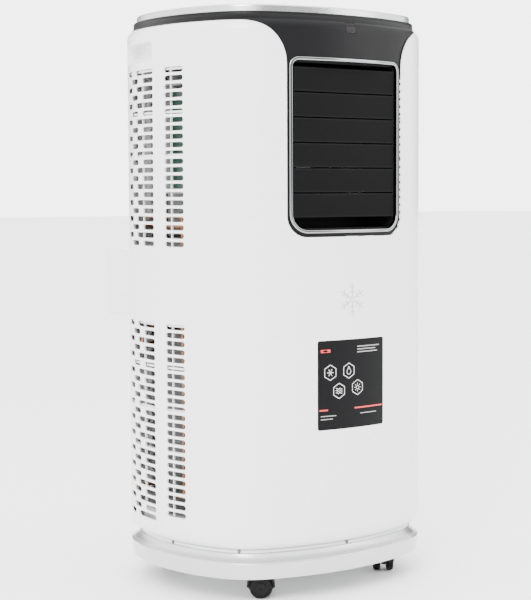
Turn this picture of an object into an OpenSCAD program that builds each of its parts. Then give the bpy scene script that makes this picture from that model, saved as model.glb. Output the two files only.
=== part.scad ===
// Portable air conditioner: a rounded floor-standing case on four twin-wheel casters.
// Millimetres, +Z up, front faces -Y, origin on the floor under the middle of the whole machine.
// Every module is drawn around the middle of the case and moved into the frame by placed().

/* [Case outline] */
// Width of the case across its sides
case_w = 430; // [400:1:460]
// Distance from the middle plane to the front of the case
front_y = 182; // [175:1:190]
// Distance from the middle plane to the back of the case
back_y = 184; // [178:1:192]
// Radius of the front face
front_r = 375; // [350:5:420]
// Radius of the side faces
side_r = 258; // [245:1:275]
// Radius of the back face
back_r = 420; // [390:5:460]
// Radius of the two front corners
front_corner_r = 100; // [90:1:110]
// Radius of the two back corners
back_corner_r = 110; // [100:1:118]
// Thickness of the plastic shells
wall = 2.5; // [2:0.5:3]

/* [Heights above the floor] */
// Bottom of the silver base ring
ring_z = 36; // [34:1:40]
// Crease of the base ring, where the band turns into the ledge
crease_z = 59; // [56:1:62]
// Bottom of the white shells
shell_z = 77; // [75:1:80]
// Top of the white shells
shell_top_z = 820; // [815:1:825]
// Top of the black band of the top cover
band_top_z = 832; // [829:1:836]
// Top of the silver trim, the highest point
top_z = 842; // [840:1:846]
// Deck between the cold half and the warm half
deck_z = 500; // [498:1:502]

/* [Air outlet] */
// Width of the black front apron
apron_w = 212; // [206:1:216]
// Bottom of the black front apron
apron_z = 518; // [514:1:521]
// Radius of the sweep from the apron into the band of the top cover
sweep_r = 60; // [50:1:64]
// Width of the chrome outlet bezel
bezel_w = 202; // [198:1:204]
// Bottom of the chrome outlet bezel
bezel_z = 523; // [522:1:525]
// Top of the chrome outlet bezel
bezel_top_z = 770; // [768:1:774]
// Width of the bezel's chrome face
bezel_face = 5; // [4:0.5:6]
// Number of louvre blades
louvre_count = 6; // [6]
// Distance between neighbouring blades
louvre_pitch = 35.4; // [35:0.1:36]
// Height of the middle of the lowest blade
louvre_z = 562.5; // [561:0.5:564]

/* [Vents] */
// Distance between vent rows
vent_pitch = 11.75; // [11.5:0.05:12]
// Height of one vent slot
vent_h = 7.5; // [6:0.5:8]
// Rows of vents in the upper group
upper_rows = 22; // [18:1:22]
// Rows of vents in the lower group
lower_rows = 24; // [20:1:24]
// Height of the lowest row of the upper group
upper_vent_z = 508; // [506:1:510]
// Height of the lowest row of the lower group
lower_vent_z = 119; // [118:1:122]

/* [Exhaust collar] */
// Width of the exhaust collar
collar_w = 332; // [310:1:334]
// Height of the exhaust collar
collar_h = 102; // [90:1:104]
// Height of the middle of the exhaust collar
collar_z = 443; // [442:1:444]
// Distance from the middle plane to the collar's open end
collar_y = 225; // [215:1:230]

/* [Casters] */
// Radius of the caster wheels
wheel_r = 17; // [16:0.5:18]
// Distance of each caster's swivel from the middle, sideways
caster_x = 125; // [115:1:127]
// Distance of each caster's swivel from the middle, front and back
caster_y = 105; // [100:1:107]
// Distance from a caster's swivel to its axle
caster_trail = 13; // [11:1:14]

/* [Hidden] */
$fn = 48;

white = [0.92, 0.92, 0.92];
black = [0.13, 0.13, 0.14];
silver = [0.78, 0.79, 0.80];
steel = [0.62, 0.64, 0.66];
copper = [0.72, 0.42, 0.25];

eps = 0.01;             // overlap that joins two bodies of one piece
fit_gap = 0.3;          // gap between separate pieces that only lie beside each other
run_gap = 0.05;         // radial clearance of a pin that turns in a hole
big = 1000;             // longer than the machine
turn_step = 5;          // angle between points of a curved outline

// ---- Outline of the case: four faces and four corners, all arcs that meet smoothly ----

frame_shift = (front_y - collar_y) / 2;
front_centre = [0, front_r - front_y];
back_centre = [0, back_y - back_r];
side_centre = [case_w / 2 - side_r, 8];

// Crossing of two circles, on the +X side of the way from p down or up to q
function crossing(p, rp, q, rq) =
    let (way = q - p, gap = norm(way), along = (rp * rp - rq * rq + gap * gap) / (2 * gap),
        across = sqrt(rp * rp - along * along), u = way / gap,
        side = u.y < 0 ? [-u.y, u.x] : [u.y, -u.x])
    p + along * u + across * side;
front_corner = crossing(front_centre, front_r - front_corner_r, side_centre, side_r - front_corner_r);
back_corner = crossing(back_centre, back_r - back_corner_r, side_centre, side_r - back_corner_r);

// Angles are turned from -Y towards +X, so 0 faces front, 90 faces right and 180 faces back
function heading(v) = atan2(v.x, -v.y);
turn_1 = heading(front_corner - front_centre);
turn_2 = heading(front_corner - side_centre);
turn_3 = heading(back_corner - side_centre);
turn_4 = heading(back_corner - back_centre);
function arc_centre(a) = a < turn_1 ? front_centre : a < turn_2 ? front_corner
    : a < turn_3 ? side_centre : a < turn_4 ? back_corner : back_centre;
function arc_radius(a) = a < turn_1 ? front_r : a < turn_2 ? front_corner_r
    : a < turn_3 ? side_r : a < turn_4 ? back_corner_r : back_r;
function unit(a) = [sin(a), -cos(a)];
// Point of the right half of the outline whose outward normal has heading a, moved in by inset
function right_rim(a, inset) = arc_centre(a) + (arc_radius(a) - inset) * unit(a);
function rim(a, inset) = a >= 0 ? right_rim(a, inset)
    : let (p = right_rim(-a, inset)) [-p.x, p.y];
// Points of the outline moved in by inset, starting at the front
function outline(inset) = [for (a = [0:turn_step:360 - turn_step]) rim(a > 180 ? a - 360 : a, inset)];
// Points along an arc from angle a0 to a1, both ends included
function turned(t) = [cos(t), sin(t)];
function arc(c, r, a0, a1, n = 6) = [for (i = [0:n]) c + r * turned(a0 + (a1 - a0) * i / n)];
function mirrored(points) = [for (i = [len(points) - 1:-1:0]) [-points[i].x, points[i].y]];
// Rectangle between two corners, with one radius at its bottom and another at its top
function round_rect(low, high, r_low, r_high) = concat(
    arc([low.x + r_low, low.y + r_low], r_low, 180, 270),
    arc([high.x - r_low, low.y + r_low], r_low, 270, 360),
    arc([high.x - r_high, high.y - r_high], r_high, 0, 90),
    arc([low.x + r_high, high.y - r_high], r_high, 90, 180));

module placed() { translate([0, frame_shift, 0]) children(); }

// A slice of the case between two heights
module slab(z0, z1, inset) { translate([0, 0, z0]) linear_extrude(z1 - z0) polygon(outline(inset)); }

// A wall that follows the case between two insets
module ring_wall(z0, z1, inset_out, inset_in) {
    difference() {
        slab(z0, z1, inset_out);
        slab(z0 - 1, z1 + 1, inset_in);
    }
}

// A solid whose outline moves in and out with height; levels are [height, inset]
module loft(levels) {
    n = len(outline(0));
    points = [for (l = levels) for (p = outline(l[1])) [p.x, p.y, l[0]]];
    sides = [for (k = [0:len(levels) - 2]) for (i = [0:n - 1])
        [k * n + i, (k + 1) * n + i, (k + 1) * n + (i + 1) % n, k * n + (i + 1) % n]];
    bottom = [for (i = [0:n - 1]) i];
    top = [for (i = [n - 1:-1:0]) (len(levels) - 1) * n + i];
    polyhedron(points = points, faces = concat([bottom], sides, [top]), convexity = 8);
}

// Carries a drawing of the front view, in x and z, through the front half or the back half
module through_front() { rotate([90, 0, 0]) linear_extrude(big) children(); }
module through_back() { mirror([0, 1, 0]) rotate([90, 0, 0]) linear_extrude(big) children(); }
// Carries a drawing of the side view, in y and z, through both sides
module through_sides() { rotate([90, 0, 90]) linear_extrude(big, center = true) children(); }
module side_plate(x, thick) { translate([x, 0, 0]) rotate([90, 0, 90]) linear_extrude(thick) children(); }

module box(low, high) { translate(low) cube(high - low); }
module rod_x(x0, x1, y, z, r) { translate([x0, y, z]) rotate([0, 90, 0]) cylinder(h = x1 - x0, r = r); }
module rod_y(y0, y1, x, z, r) { translate([x, y0, z]) rotate([-90, 0, 0]) cylinder(h = y1 - y0, r = r); }
module rod_z(z0, z1, x, y, r) { translate([x, y, z0]) cylinder(h = z1 - z0, r = r); }

// A tube along straight stretches, with a slightly thicker brazed elbow at each corner
module pipe(path, r) {
    for (i = [0:len(path) - 2]) {
        way = path[i + 1] - path[i];
        translate(path[i]) rotate([0, acos(way.z / norm(way)), atan2(way.y, way.x)])
            cylinder(h = norm(way), r = r);
        if (i > 0) translate(path[i]) sphere(r = r + 0.3);
    }
}

// ---- Shells ----

seam_y = -4;            // where the front and rear shells meet, at the sides
edge_top = [[806, 0], [812, 1.3], [817, 4.8], [shell_top_z, 10]];
edge_low = [[shell_z, 15], [79.5, 9], [84, 4], [90, 1], [96, 0]];
wall_z0 = edge_low[4][0];
wall_z1 = edge_top[0][0];
sweep_centre = [apron_w / 2 + sweep_r, shell_top_z - sweep_r];
apron_r = 30;           // bottom corners of the apron
apron_inset = 4;        // how far the apron lies behind the white surface
apron_thick = 3;

// Front view of the opening in the white shell that the black apron fills
function front_window(gap) = let (w = apron_w / 2 - gap, right = concat(
    arc([w - apron_r, apron_z + gap + apron_r], apron_r, 270, 360),
    arc(sweep_centre, sweep_r + gap, 180, 90, 10), [[sweep_centre.x, big]]))
    concat(right, mirrored(right));

module shell_skin() {
    ring_wall(wall_z0, wall_z1, 0, wall);
    difference() {
        loft(edge_top);
        loft([for (l = edge_top) [l[0] + (l == edge_top[0] ? -1 : 1 - wall / 2), l[1] + wall]]);
        slab(shell_top_z - wall, shell_top_z + 1, edge_top[3][1] + wall);
    }
    difference() {
        loft(edge_low);
        loft([for (l = edge_low) [l[0] + (l == edge_low[0] ? -1 : l == edge_low[4] ? 1 : 0), l[1] + wall]]);
    }
}

// One vent slot in a side or front view, from u0 to u1 at height z
function slot(u0, u1, z, h) = concat(
    arc([u1 - h / 2, z], h / 2, -90, 90, 3),
    arc([u0 + h / 2, z], h / 2, 90, 270, 3));
module slot_rows(z0, rows, pitch, h, spans, phase = 0) {
    for (i = [0:rows - 1]) {
        for (s = spans[(i + phase) % len(spans)]) polygon(slot(s[0], s[1], z0 + i * pitch, h));
    }
}
front_spans = [[[-57, -19]]];
rear_spans = [[[8, 40], [54, 84], [98, 126]], [[8, 63], [77, 106]]];

label_w = 122;
label_z = 243;
label_h = 128;
label_thick = 0.4;
module label_block(gap) {
    box([-label_w / 2 - gap, -big, label_z - gap], [label_w / 2 + gap, 0, label_z + label_h + gap]);
}

module front_shell() {
    color(white) placed() difference() {
        shell_skin();
        box([-big, seam_y - fit_gap / 2, -big], [big, big, big]);
        through_front() polygon(front_window(0));
        through_sides() {
            slot_rows(upper_vent_z, upper_rows, vent_pitch, vent_h, front_spans);
            slot_rows(lower_vent_z, lower_rows, vent_pitch, vent_h, front_spans);
        }
        intersection() {
            label_block(fit_gap / 2);
            ring_wall(label_z - 1, label_z + label_h + 1, -1, label_thick);
        }
    }
}

grille_w = 260;
upper_grille_z = [545, 772];
lower_grille_z = [122, 372];
pocket_y = [10, 116];
pocket_z = [770, 797];
pocket_depth = 20;
drain_z = 513;
base_drain_z = 98;
drain_r = 9;            // hose stub of each drain
drain_root_r = 11;      // thicker root of each drain
drain_bore_r = 6;
stub_len = 14;          // hose stub of each drain
gland_x = 60;
gland_z = 102;
gland_r = 9;
screw_r = 2.4;
back_screw_turn = 141;   // heading of the back screws
back_screw_z = [140, 350, 530, 740];

module pocket_zone(grow) {
    for (side = [-1, 1]) {
        low_x = side > 0 ? 120 : -big;
        box([low_x, pocket_y[0] - grow, pocket_z[0] - grow],
            [low_x + big - 120, pocket_y[1] + grow, pocket_z[1] + grow]);
    }
}

module rear_shell() {
    color(white) placed() difference() {
        union() {
            shell_skin();
            intersection() {
                pocket_zone(wall);
                ring_wall(pocket_z[0] - 2 * wall, pocket_z[1] + 2 * wall, wall / 2, pocket_depth + wall);
            }
        }
        intersection() {
            pocket_zone(0);
            ring_wall(pocket_z[0] - 1, pocket_z[1] + 1, -5, pocket_depth);
        }
        box([-big, -big, -big], [big, seam_y + fit_gap / 2, big]);
        through_sides() {
            slot_rows(upper_vent_z, upper_rows, vent_pitch, vent_h, rear_spans);
            slot_rows(lower_vent_z - vent_pitch, lower_rows + 1, vent_pitch, vent_h, rear_spans, 1);
        }
        through_back() {
            polygon(round_rect([-grille_w / 2, upper_grille_z[0]], [grille_w / 2, upper_grille_z[1]], 6, 6));
            polygon(round_rect([-grille_w / 2, lower_grille_z[0]], [grille_w / 2, lower_grille_z[1]], 6, 6));
            polygon(collar_outline(-fit_gap));
        }
        for (z = [drain_z, base_drain_z]) rod_y(100, big, 0, z, drain_root_r + fit_gap);
        rod_y(100, big, gland_x, gland_z, gland_r + fit_gap);
    }
}

// ---- Rear grilles and filters ----

grille_rim = 5;
grille_depth = 12;
filter_inset = [6, 10];
grille_spans = [[for (i = [0:3]) [-118 + i * 60, -118 + i * 60 + 56]]];

module grille(z, rows) {
    w = grille_w / 2 - fit_gap;
    low = z[0] + fit_gap;
    high = z[1] - fit_gap;
    difference() {
        intersection() {
            ring_wall(low, high, 0, grille_depth);
            through_back() polygon(round_rect([-w, low], [w, high], 6, 6));
        }
        intersection() {
            slab(low, high, wall);
            through_back()
                polygon(round_rect([grille_rim - w, low + grille_rim], [w - grille_rim, high - grille_rim], 3, 3));
        }
        through_back() slot_rows(z[0] + 14, rows, vent_pitch, vent_h, grille_spans);
    }
}
module upper_grille() { color(white) placed() grille(upper_grille_z, 18); }
module lower_grille() { color(white) placed() grille(lower_grille_z, 20); }

filter_cell = 24;
filter_bar = 1.6;
filter_gap = 1.5;       // between a filter and the rim of its grille
module filter(z) {
    w = grille_w / 2 - grille_rim - filter_gap;
    low = z[0] + grille_rim + filter_gap;
    high = z[1] - grille_rim - filter_gap;
    cols = floor((2 * w - filter_bar) / filter_cell);
    rows = floor((high - low - filter_bar) / filter_cell);
    step_x = (2 * w - filter_bar) / cols;
    step_z = (high - low - filter_bar) / rows;
    intersection() {
        ring_wall(low, high, filter_inset[0], filter_inset[1]);
        through_back() {
            for (i = [0:cols]) translate([-w + i * step_x, low]) square([filter_bar, high - low]);
            for (i = [0:rows]) translate([-w, low + i * step_z]) square([2 * w, filter_bar]);
        }
    }
    intersection() {
        ring_wall(low, high, filter_inset[0] + 1.5, filter_inset[0] + 2.1);
        through_back() polygon(round_rect([-w, low], [w, high], 1, 1));
    }
}
module upper_filter() { color([0.25, 0.32, 0.42]) placed() filter(upper_grille_z); }
module lower_filter() { color([0.25, 0.32, 0.42]) placed() filter(lower_grille_z); }

// ---- Base ----

pan_z = 72;
pan_inset = 14.5;
pan_floor = 4;
pan_rim = 112;
pan_rim_inset = 19;
socket_r = 14;
stem_r = 5.5;
stem_top = 70;
socket_z = 52;
foot_r = 11;
lip_screw_turns = [0, 47, 85, 130, 180, -130, -85, -47];

module base_ring() {
    color(silver) placed() difference() {
        loft([[ring_z, 3], [crease_z, 0], [60, 1.6], [61.5, 5], [65, 10], [pan_z - fit_gap, 14]]);
        loft([[ring_z - 1, 5], [56.5, 2.3], [58, 3.6], [59.5, 7.5], [63, 12.2],
            [pan_z - wall, 16.5], [pan_z + 1, 22]]);
    }
}

module caster_spots() {
    for (x = [-caster_x, caster_x]) {
        for (y = [-caster_y, caster_y]) translate([x, y, 0]) children();
    }
}

module base_pan() {
    color(white) placed() difference() {
        union() {
            slab(pan_z, pan_z + pan_floor, pan_inset);
            slab(pan_z + pan_floor - eps, shell_z - fit_gap, pan_inset + 2);
            ring_wall(shell_z - fit_gap - eps, pan_rim, pan_rim_inset, pan_rim_inset + wall);
            caster_spots() cylinder(h = pan_z + 1 - socket_z, r = socket_r + fit_gap);
            caster_spots() translate([0, 0, socket_z]) cylinder(h = pan_z + 1 - socket_z, r = socket_r);
            rod_y(back_y - pan_rim_inset - 2, back_y, 0, base_drain_z, drain_root_r);
            rod_y(back_y - 1, back_y + stub_len, 0, base_drain_z, drain_r);
        }
        slab(pan_z + pan_floor, pan_rim + 1, pan_rim_inset + wall);
        caster_spots() cylinder(h = pan_z + pan_floor + 1, r = stem_r + run_gap);
        caster_spots() translate([0, 0, socket_z - 60]) cylinder(h = 60, r = socket_r + 2);
        rod_y(back_y - pan_rim_inset - 10, big, 0, base_drain_z, drain_bore_r);
    }
}

module case_screws() {
    color(steel) placed() {
        for (a = lip_screw_turns) {
            p = rim(a, pan_inset);
            translate([p.x, p.y, pan_z + pan_floor / 2 + 0.3]) rotate([90, 0, a]) {
                translate([0, 0, 0.15]) cylinder(h = 1.2, r = screw_r);
                translate([0, 0, -9]) cylinder(h = 9.3, r = 1.4);
            }
        }
        for (z = back_screw_z) {
            for (side = [-1, 1]) {
                p = rim(side * back_screw_turn, 0);
                translate([p.x, p.y, z]) rotate([90, 0, side * back_screw_turn]) {
                    translate([0, 0, -1.2]) cylinder(h = 1.2, r = 3.4);
                    translate([0, 0, -10]) cylinder(h = 9, r = 1.7);
                }
            }
        }
    }
}

// ---- Casters ----

wheel_w = 11;
web_w = 8;
hood_r = 20.5;
hood_in_r = 18;
axle_r = 3;
stem_neck_r = 8;
caster_turns = [["fl", -1, -1, -37], ["fr", 1, -1, 53], ["rl", -1, 1, 20], ["rr", 1, 1, 115]];

// Draws a caster's piece at its swivel, turned so that its trail points along the given heading
module at_caster(side_x, side_y, turn) {
    translate([side_x * caster_x, side_y * caster_y, 0]) rotate([0, 0, turn]) children();
}

module caster_fork() {
    web = web_w / 2;
    hood = web + wheel_w + 1;
    difference() {
        union() {
            translate([caster_trail, 0, wheel_r]) rotate([90, 0, 0]) difference() {
                cylinder(h = 2 * hood, r = hood_r, center = true);
                cylinder(h = 2 * hood + 1, r = hood_in_r, center = true);
                translate([-hood_r - 1, -hood_r - 1, -hood - 1])
                    cube([2 * hood_r + 2, hood_r + 1, 2 * hood + 2]);
            }
            translate([caster_trail, 0, wheel_r]) rotate([90, 0, 0]) difference() {
                cylinder(h = web_w, r = hood_in_r + 1, center = true);
                translate([-hood_r, -hood_r - 5, -web_w]) cube([2 * hood_r, hood_r, 2 * web_w]);
            }
            rod_z(wheel_r + 9, socket_z - 0.5, 0, 0, stem_neck_r);
            rod_z(socket_z - 1, stem_top, 0, 0, stem_r);
        }
        translate([caster_trail, 0, wheel_r]) rotate([90, 0, 0])
            cylinder(h = big, r = axle_r + run_gap, center = true);
        for (side = [-1, 1]) {
            translate([caster_trail, side * (web + 0.3 + wheel_w / 2), wheel_r]) rotate([90, 0, 0])
                cylinder(h = wheel_w + 0.6, r = wheel_r + 0.6, center = true);
        }
    }
}

module caster_wheels() {
    translate([caster_trail, 0, wheel_r]) rotate([90, 0, 0]) {
        for (side = [-1, 1]) {
            translate([0, 0, side * (web_w / 2 + 0.4 + wheel_w / 2)]) difference() {
                cylinder(h = wheel_w, r = wheel_r, center = true, $fn = 64);
                translate([0, 0, side * wheel_w / 2]) rotate_extrude() translate([7, -2]) square([6, 4]);
            }
        }
        cylinder(h = web_w + wheel_w, r = axle_r, center = true);
    }
}

module at_corner(k) {
    c = caster_turns[k];
    color(black) placed() at_caster(c[1], c[2], c[3]) children();
}
module caster_fork_at(k) { at_corner(k) caster_fork(); }
module caster_wheels_at(k) { at_corner(k) caster_wheels(); }

// ---- Top cover and controls ----

band_inset = 10;
deck_inset = 18.6;
deck_top = 838;
trim_w = 4;
panel_back_y = -60;
key_y = -118;
key_r = 7;
key_step = 26;
key_travel = 0.8;
key_top = 839;
display_w = 64;
window_w = 18;
window_z = [806, 820];
window_y = [-178, -172];

// Front view of the hole in the apron that the bezel fills
function bezel_outline(grow) = round_rect([-bezel_w / 2 - grow, bezel_z - grow],
    [bezel_w / 2 + grow, bezel_top_z + grow], 28 + grow, 14 + grow);
function bezel_inside(grow) = bezel_outline(grow - bezel_face);

module top_cover() {
    color(black) placed() difference() {
        union() {
            difference() {
                loft([[shell_top_z + fit_gap, band_inset], [band_top_z - 1, band_inset],
                    [band_top_z, band_inset + 1]]);
                slab(shell_top_z - 1, band_top_z - wall, band_inset + wall);
            }
            difference() {
                slab(band_top_z - eps, deck_top, deck_inset);
                box([-big, -big, band_top_z], [big, panel_back_y, big]);
            }
            difference() {
                ring_wall(apron_z, band_top_z - wall, apron_inset, apron_inset + apron_thick);
                box([-big, -100, -big], [big, big, big]);
                ring_wall(shell_top_z + fit_gap, big, -1, band_inset);
            }
            intersection() {
                ring_wall(shell_top_z - 14, shell_top_z + 6, apron_inset + apron_thick - 1,
                    band_inset + wall);
                through_front() polygon(front_window(fit_gap));
            }
        }
        difference() {
            box([-big, -big, 0], [big, -100, shell_top_z + fit_gap - eps]);
            through_front() polygon(front_window(fit_gap));
        }
        through_front() polygon(bezel_outline(fit_gap));
        box([-window_w / 2 - fit_gap, -big, window_z[0] - fit_gap],
            [window_w / 2 + fit_gap, -150, window_z[1] + fit_gap]);
    }
}

module receiver_window() {
    color([0.05, 0.05, 0.06]) placed()
        box([-window_w / 2, window_y[0], window_z[0]], [window_w / 2, window_y[1], window_z[1]]);
}

module top_trim() {
    color(silver) placed() difference() {
        loft([[band_top_z + 0.01, deck_inset - trim_w], [top_z - 2, deck_inset - trim_w],
            [top_z - 0.6, deck_inset - trim_w + 0.6], [top_z, deck_inset - trim_w + 1.8]]);
        slab(band_top_z - 1, top_z + 1, deck_inset - fit_gap);
    }
}

key_x = [for (i = [0:5]) (i - 2.5) * key_step];
module control_panel() {
    color([0.06, 0.06, 0.07]) placed() difference() {
        slab(band_top_z, deck_top, deck_inset);
        box([-big, panel_back_y - fit_gap, 0], [big, big, big]);
        for (x = key_x) rod_z(0, big, x, key_y, key_r + fit_gap);
        box([-display_w / 2, -150, deck_top - 0.6], [display_w / 2, -134, big]);
    }
}
module key(i) {
    color(silver) placed() translate([key_x[i], key_y, 0]) {
        rod_z(band_top_z + key_travel + 0.1, key_top - 0.8, 0, 0, key_r);
        translate([0, 0, key_top - 0.8]) cylinder(h = 0.8, r1 = key_r, r2 = key_r - 0.8);
    }
}
module button_power() { key(0); }
module button_mode() { key(1); }
module button_fan() { key(2); }
module button_timer() { key(3); }
module button_plus() { key(4); }
module button_minus() { key(5); }

// ---- Air outlet ----

duct_half = 97;
duct_wall = 3;
duct_z = [527, 766];
duct_y = [-159.6, -112];
pivot_y = -155;
pivot_r = 2;
blade_face_y = -164;
blade_back_y = -160.5;
blade_h = louvre_pitch - 1.4;
blade_half = 92.5;
lug_thick = 2;
arm_x = [97.5, 99.5];   // crank arms, outside the duct's right wall
arm_pin_y = -141;
arm_pin_r = 1.5;
link_x = [100, 102.8];
link_half = 3;
scroll_out_z = [560, 655];
scroll_half = 80;
sheet = 2.5;

module outlet_bezel() {
    color(silver) placed() difference() {
        intersection() {
            ring_wall(bezel_z - 1, bezel_top_z + 1, 2, 9);
            through_front() polygon(bezel_outline(0));
        }
        through_front() polygon(bezel_inside(0));
    }
}

module outlet_duct() {
    color(black) placed() difference() {
        box([-duct_half, duct_y[0], duct_z[0]], [duct_half, duct_y[1], duct_z[1]]);
        box([duct_wall - duct_half, duct_y[0] - 1, duct_z[0] + duct_wall],
            [duct_half - duct_wall, duct_y[1] - sheet, duct_z[1] - duct_wall]);
        box([sheet - scroll_half, duct_y[1] - sheet - 1, scroll_out_z[0] + sheet],
            [scroll_half - sheet, duct_y[1] + 1, scroll_out_z[1] - sheet]);
        for (i = [0:louvre_count - 1]) {
            rod_x(-big, big, pivot_y, louvre_z + i * louvre_pitch, pivot_r + run_gap);
        }
    }
}

// One blade with its end lugs, its pivot pins and the crank arm that the link bar turns
module louvre(i) {
    color(black) placed() translate([0, 0, louvre_z + i * louvre_pitch]) {
        box([-blade_half, blade_face_y, -blade_h / 2], [blade_half, blade_back_y, blade_h / 2]);
        for (x = [-blade_half, blade_half - lug_thick]) side_plate(x, lug_thick)
            polygon([[blade_back_y - 1, -9], [pivot_y + 3, -3], [pivot_y + 3, 3], [blade_back_y - 1, 9]]);
        rod_x(0.4 - duct_half, 1 - blade_half, pivot_y, 0, pivot_r);
        rod_x(blade_half - 1, arm_x[1] - 0.5, pivot_y, 0, pivot_r);
        side_plate(arm_x[0], arm_x[1] - arm_x[0]) polygon(concat(arc([pivot_y, 0], 3.6, 90, 270),
            arc([arm_pin_y, 0], 3, -90, 90)));
        rod_x(arm_x[1] - 0.5, link_x[1] + 0.6, arm_pin_y, 0, arm_pin_r);
    }
}

module louvre_link() {
    top = louvre_z + (louvre_count - 1) * louvre_pitch;
    color([0.3, 0.3, 0.32]) placed() difference() {
        box([link_x[0], arm_pin_y - link_half, louvre_z - 5], [link_x[1], arm_pin_y + link_half, top + 5]);
        for (i = [0:louvre_count - 1]) {
            rod_x(0, big, arm_pin_y, louvre_z + i * louvre_pitch, arm_pin_r + (i == 0 ? run_gap : fit_gap));
        }
    }
}

module swing_motor() {
    color(steel) placed() {
        rod_x(-116, -98.5, pivot_y + 8, louvre_z, 11);
        rod_x(-98.6, -duct_half - 0.1, pivot_y, louvre_z, 2.8);
        box([-112, pivot_y - 1, louvre_z + 10], [-duct_half - 0.1, pivot_y + 18, louvre_z + 14]);
    }
}

module front_label() {
    color(black) placed() intersection() {
        ring_wall(label_z, label_z + label_h, 0, label_thick - 0.05);
        label_block(0);
    }
}

// ---- Deck and coils ----

coil_y = [112, 142];
tray_half = 140;
suction_hole = [-150, -10];
liquid_hole = [-172, -2];

module mid_deck() {
    color([0.75, 0.76, 0.78]) placed() difference() {
        union() {
            slab(deck_z, deck_z + 3, 6);
            difference() {
                box([-tray_half, coil_y[0] - 7, deck_z], [tray_half, coil_y[1] + 6, deck_z + 13]);
                box([2 - tray_half, coil_y[0] - 5, deck_z + 3], [tray_half - 2, coil_y[1] + 4, big]);
            }
            rod_y(coil_y[1] + 5, back_y, 0, drain_z, drain_root_r);
            rod_y(back_y - 1, back_y + stub_len, 0, drain_z, drain_r);
        }
        rod_y(coil_y[1], big, 0, drain_z, drain_bore_r);
        rod_z(0, big, suction_hole.x, suction_hole.y, 8);
        rod_z(0, big, liquid_hole.x, liquid_hole.y, 5);
    }
}

bend_r = 4;
module coil(half, z0, z1) {
    pitch = 25;
    mid = (coil_y[0] + coil_y[1]) / 2;
    box([-half, coil_y[0], z0], [half, coil_y[1], z1]);
    for (side = [-1, 1]) {
        for (z = [z0 + 20:2 * pitch:z1 - pitch - 10]) {
            shift = side > 0 ? 0 : pitch;
            if (z + shift + pitch < z1 - 5) translate([side * half, mid, z + shift + pitch / 2])
                rotate([90, 0, 0]) difference() {
                    rotate_extrude() translate([pitch / 2, 0]) circle(r = bend_r);
                    translate([side > 0 ? -big - 1 : 1, -big / 2, -big / 2]) cube(big);
                }
        }
    }
}
module evaporator() { color([0.8, 0.82, 0.84]) placed() coil(122, deck_z + 17, 765); }
module condenser() { color([0.8, 0.82, 0.84]) placed() coil(135, 118, 372); }

// ---- Fans ----

blade_count = 20;
// Forward-curved fan wheel with its shaft, along its own z from 0 to w
module fan_wheel(r, w, shaft_from, shaft_to) {
    cylinder(h = 3, r = r);
    cylinder(h = 20, r = 12);
    translate([0, 0, w - 3]) difference() {
        cylinder(h = 3, r = r);
        translate([0, 0, -1]) cylinder(h = 5, r = r - 16);
    }
    for (i = [0:blade_count - 1]) {
        rotate([0, 0, i * 360 / blade_count]) translate([r - 9, 0, 2]) rotate([0, 0, 35])
            translate([-7, -0.6, 0]) cube([14, 1.2, w - 4]);
    }
    translate([0, 0, shaft_from]) cylinder(h = shaft_to - shaft_from, r = 4);
}

upper_fan_z = 650;
upper_fan_r = 76;
upper_scroll_r = 92;
motor_r = 40;
motor_x = [86, 132];
module upper_scroll() {
    color([0.85, 0.86, 0.87]) placed() difference() {
        union() {
            side_plate(-scroll_half, 2 * scroll_half) {
                translate([0, upper_fan_z]) circle(r = upper_scroll_r);
                translate([duct_y[1] + fit_gap, scroll_out_z[0]])
                    square([-duct_y[1], scroll_out_z[1] - scroll_out_z[0]]);
            }
            for (x = [-60, 54]) box([x, -30, deck_z + 3], [x + 6, 30, upper_fan_z - upper_scroll_r + 6]);
        }
        side_plate(sheet - scroll_half, 2 * (scroll_half - sheet)) {
            translate([0, upper_fan_z]) circle(r = upper_scroll_r - sheet);
            translate([duct_y[1] - 1, scroll_out_z[0] + sheet])
                square([-duct_y[1], scroll_out_z[1] - scroll_out_z[0] - 2 * sheet]);
        }
        rod_x(-big, big, 0, upper_fan_z, 60);
    }
}
module upper_blower() {
    color([0.3, 0.31, 0.33]) placed() translate([-70, 0, upper_fan_z]) rotate([0, 90, 0])
        fan_wheel(upper_fan_r, 140, 0, motor_x[0] + 70 + 30);
}
module fan_motor(length) {
    difference() {
        union() {
            cylinder(h = length, r = motor_r);
            translate([0, 0, -4]) cylinder(h = length + 4, r = 14);
        }
        translate([0, 0, -5]) cylinder(h = 36, r = 4 + run_gap);
    }
}
module upper_motor() {
    color(steel) placed() {
        translate([motor_x[0], 0, upper_fan_z]) rotate([0, 90, 0]) fan_motor(motor_x[1] - motor_x[0]);
        box([motor_x[0] + 10, -15, deck_z + 3], [motor_x[1] - 8, 15, upper_fan_z - motor_r + 4]);
    }
}

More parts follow.
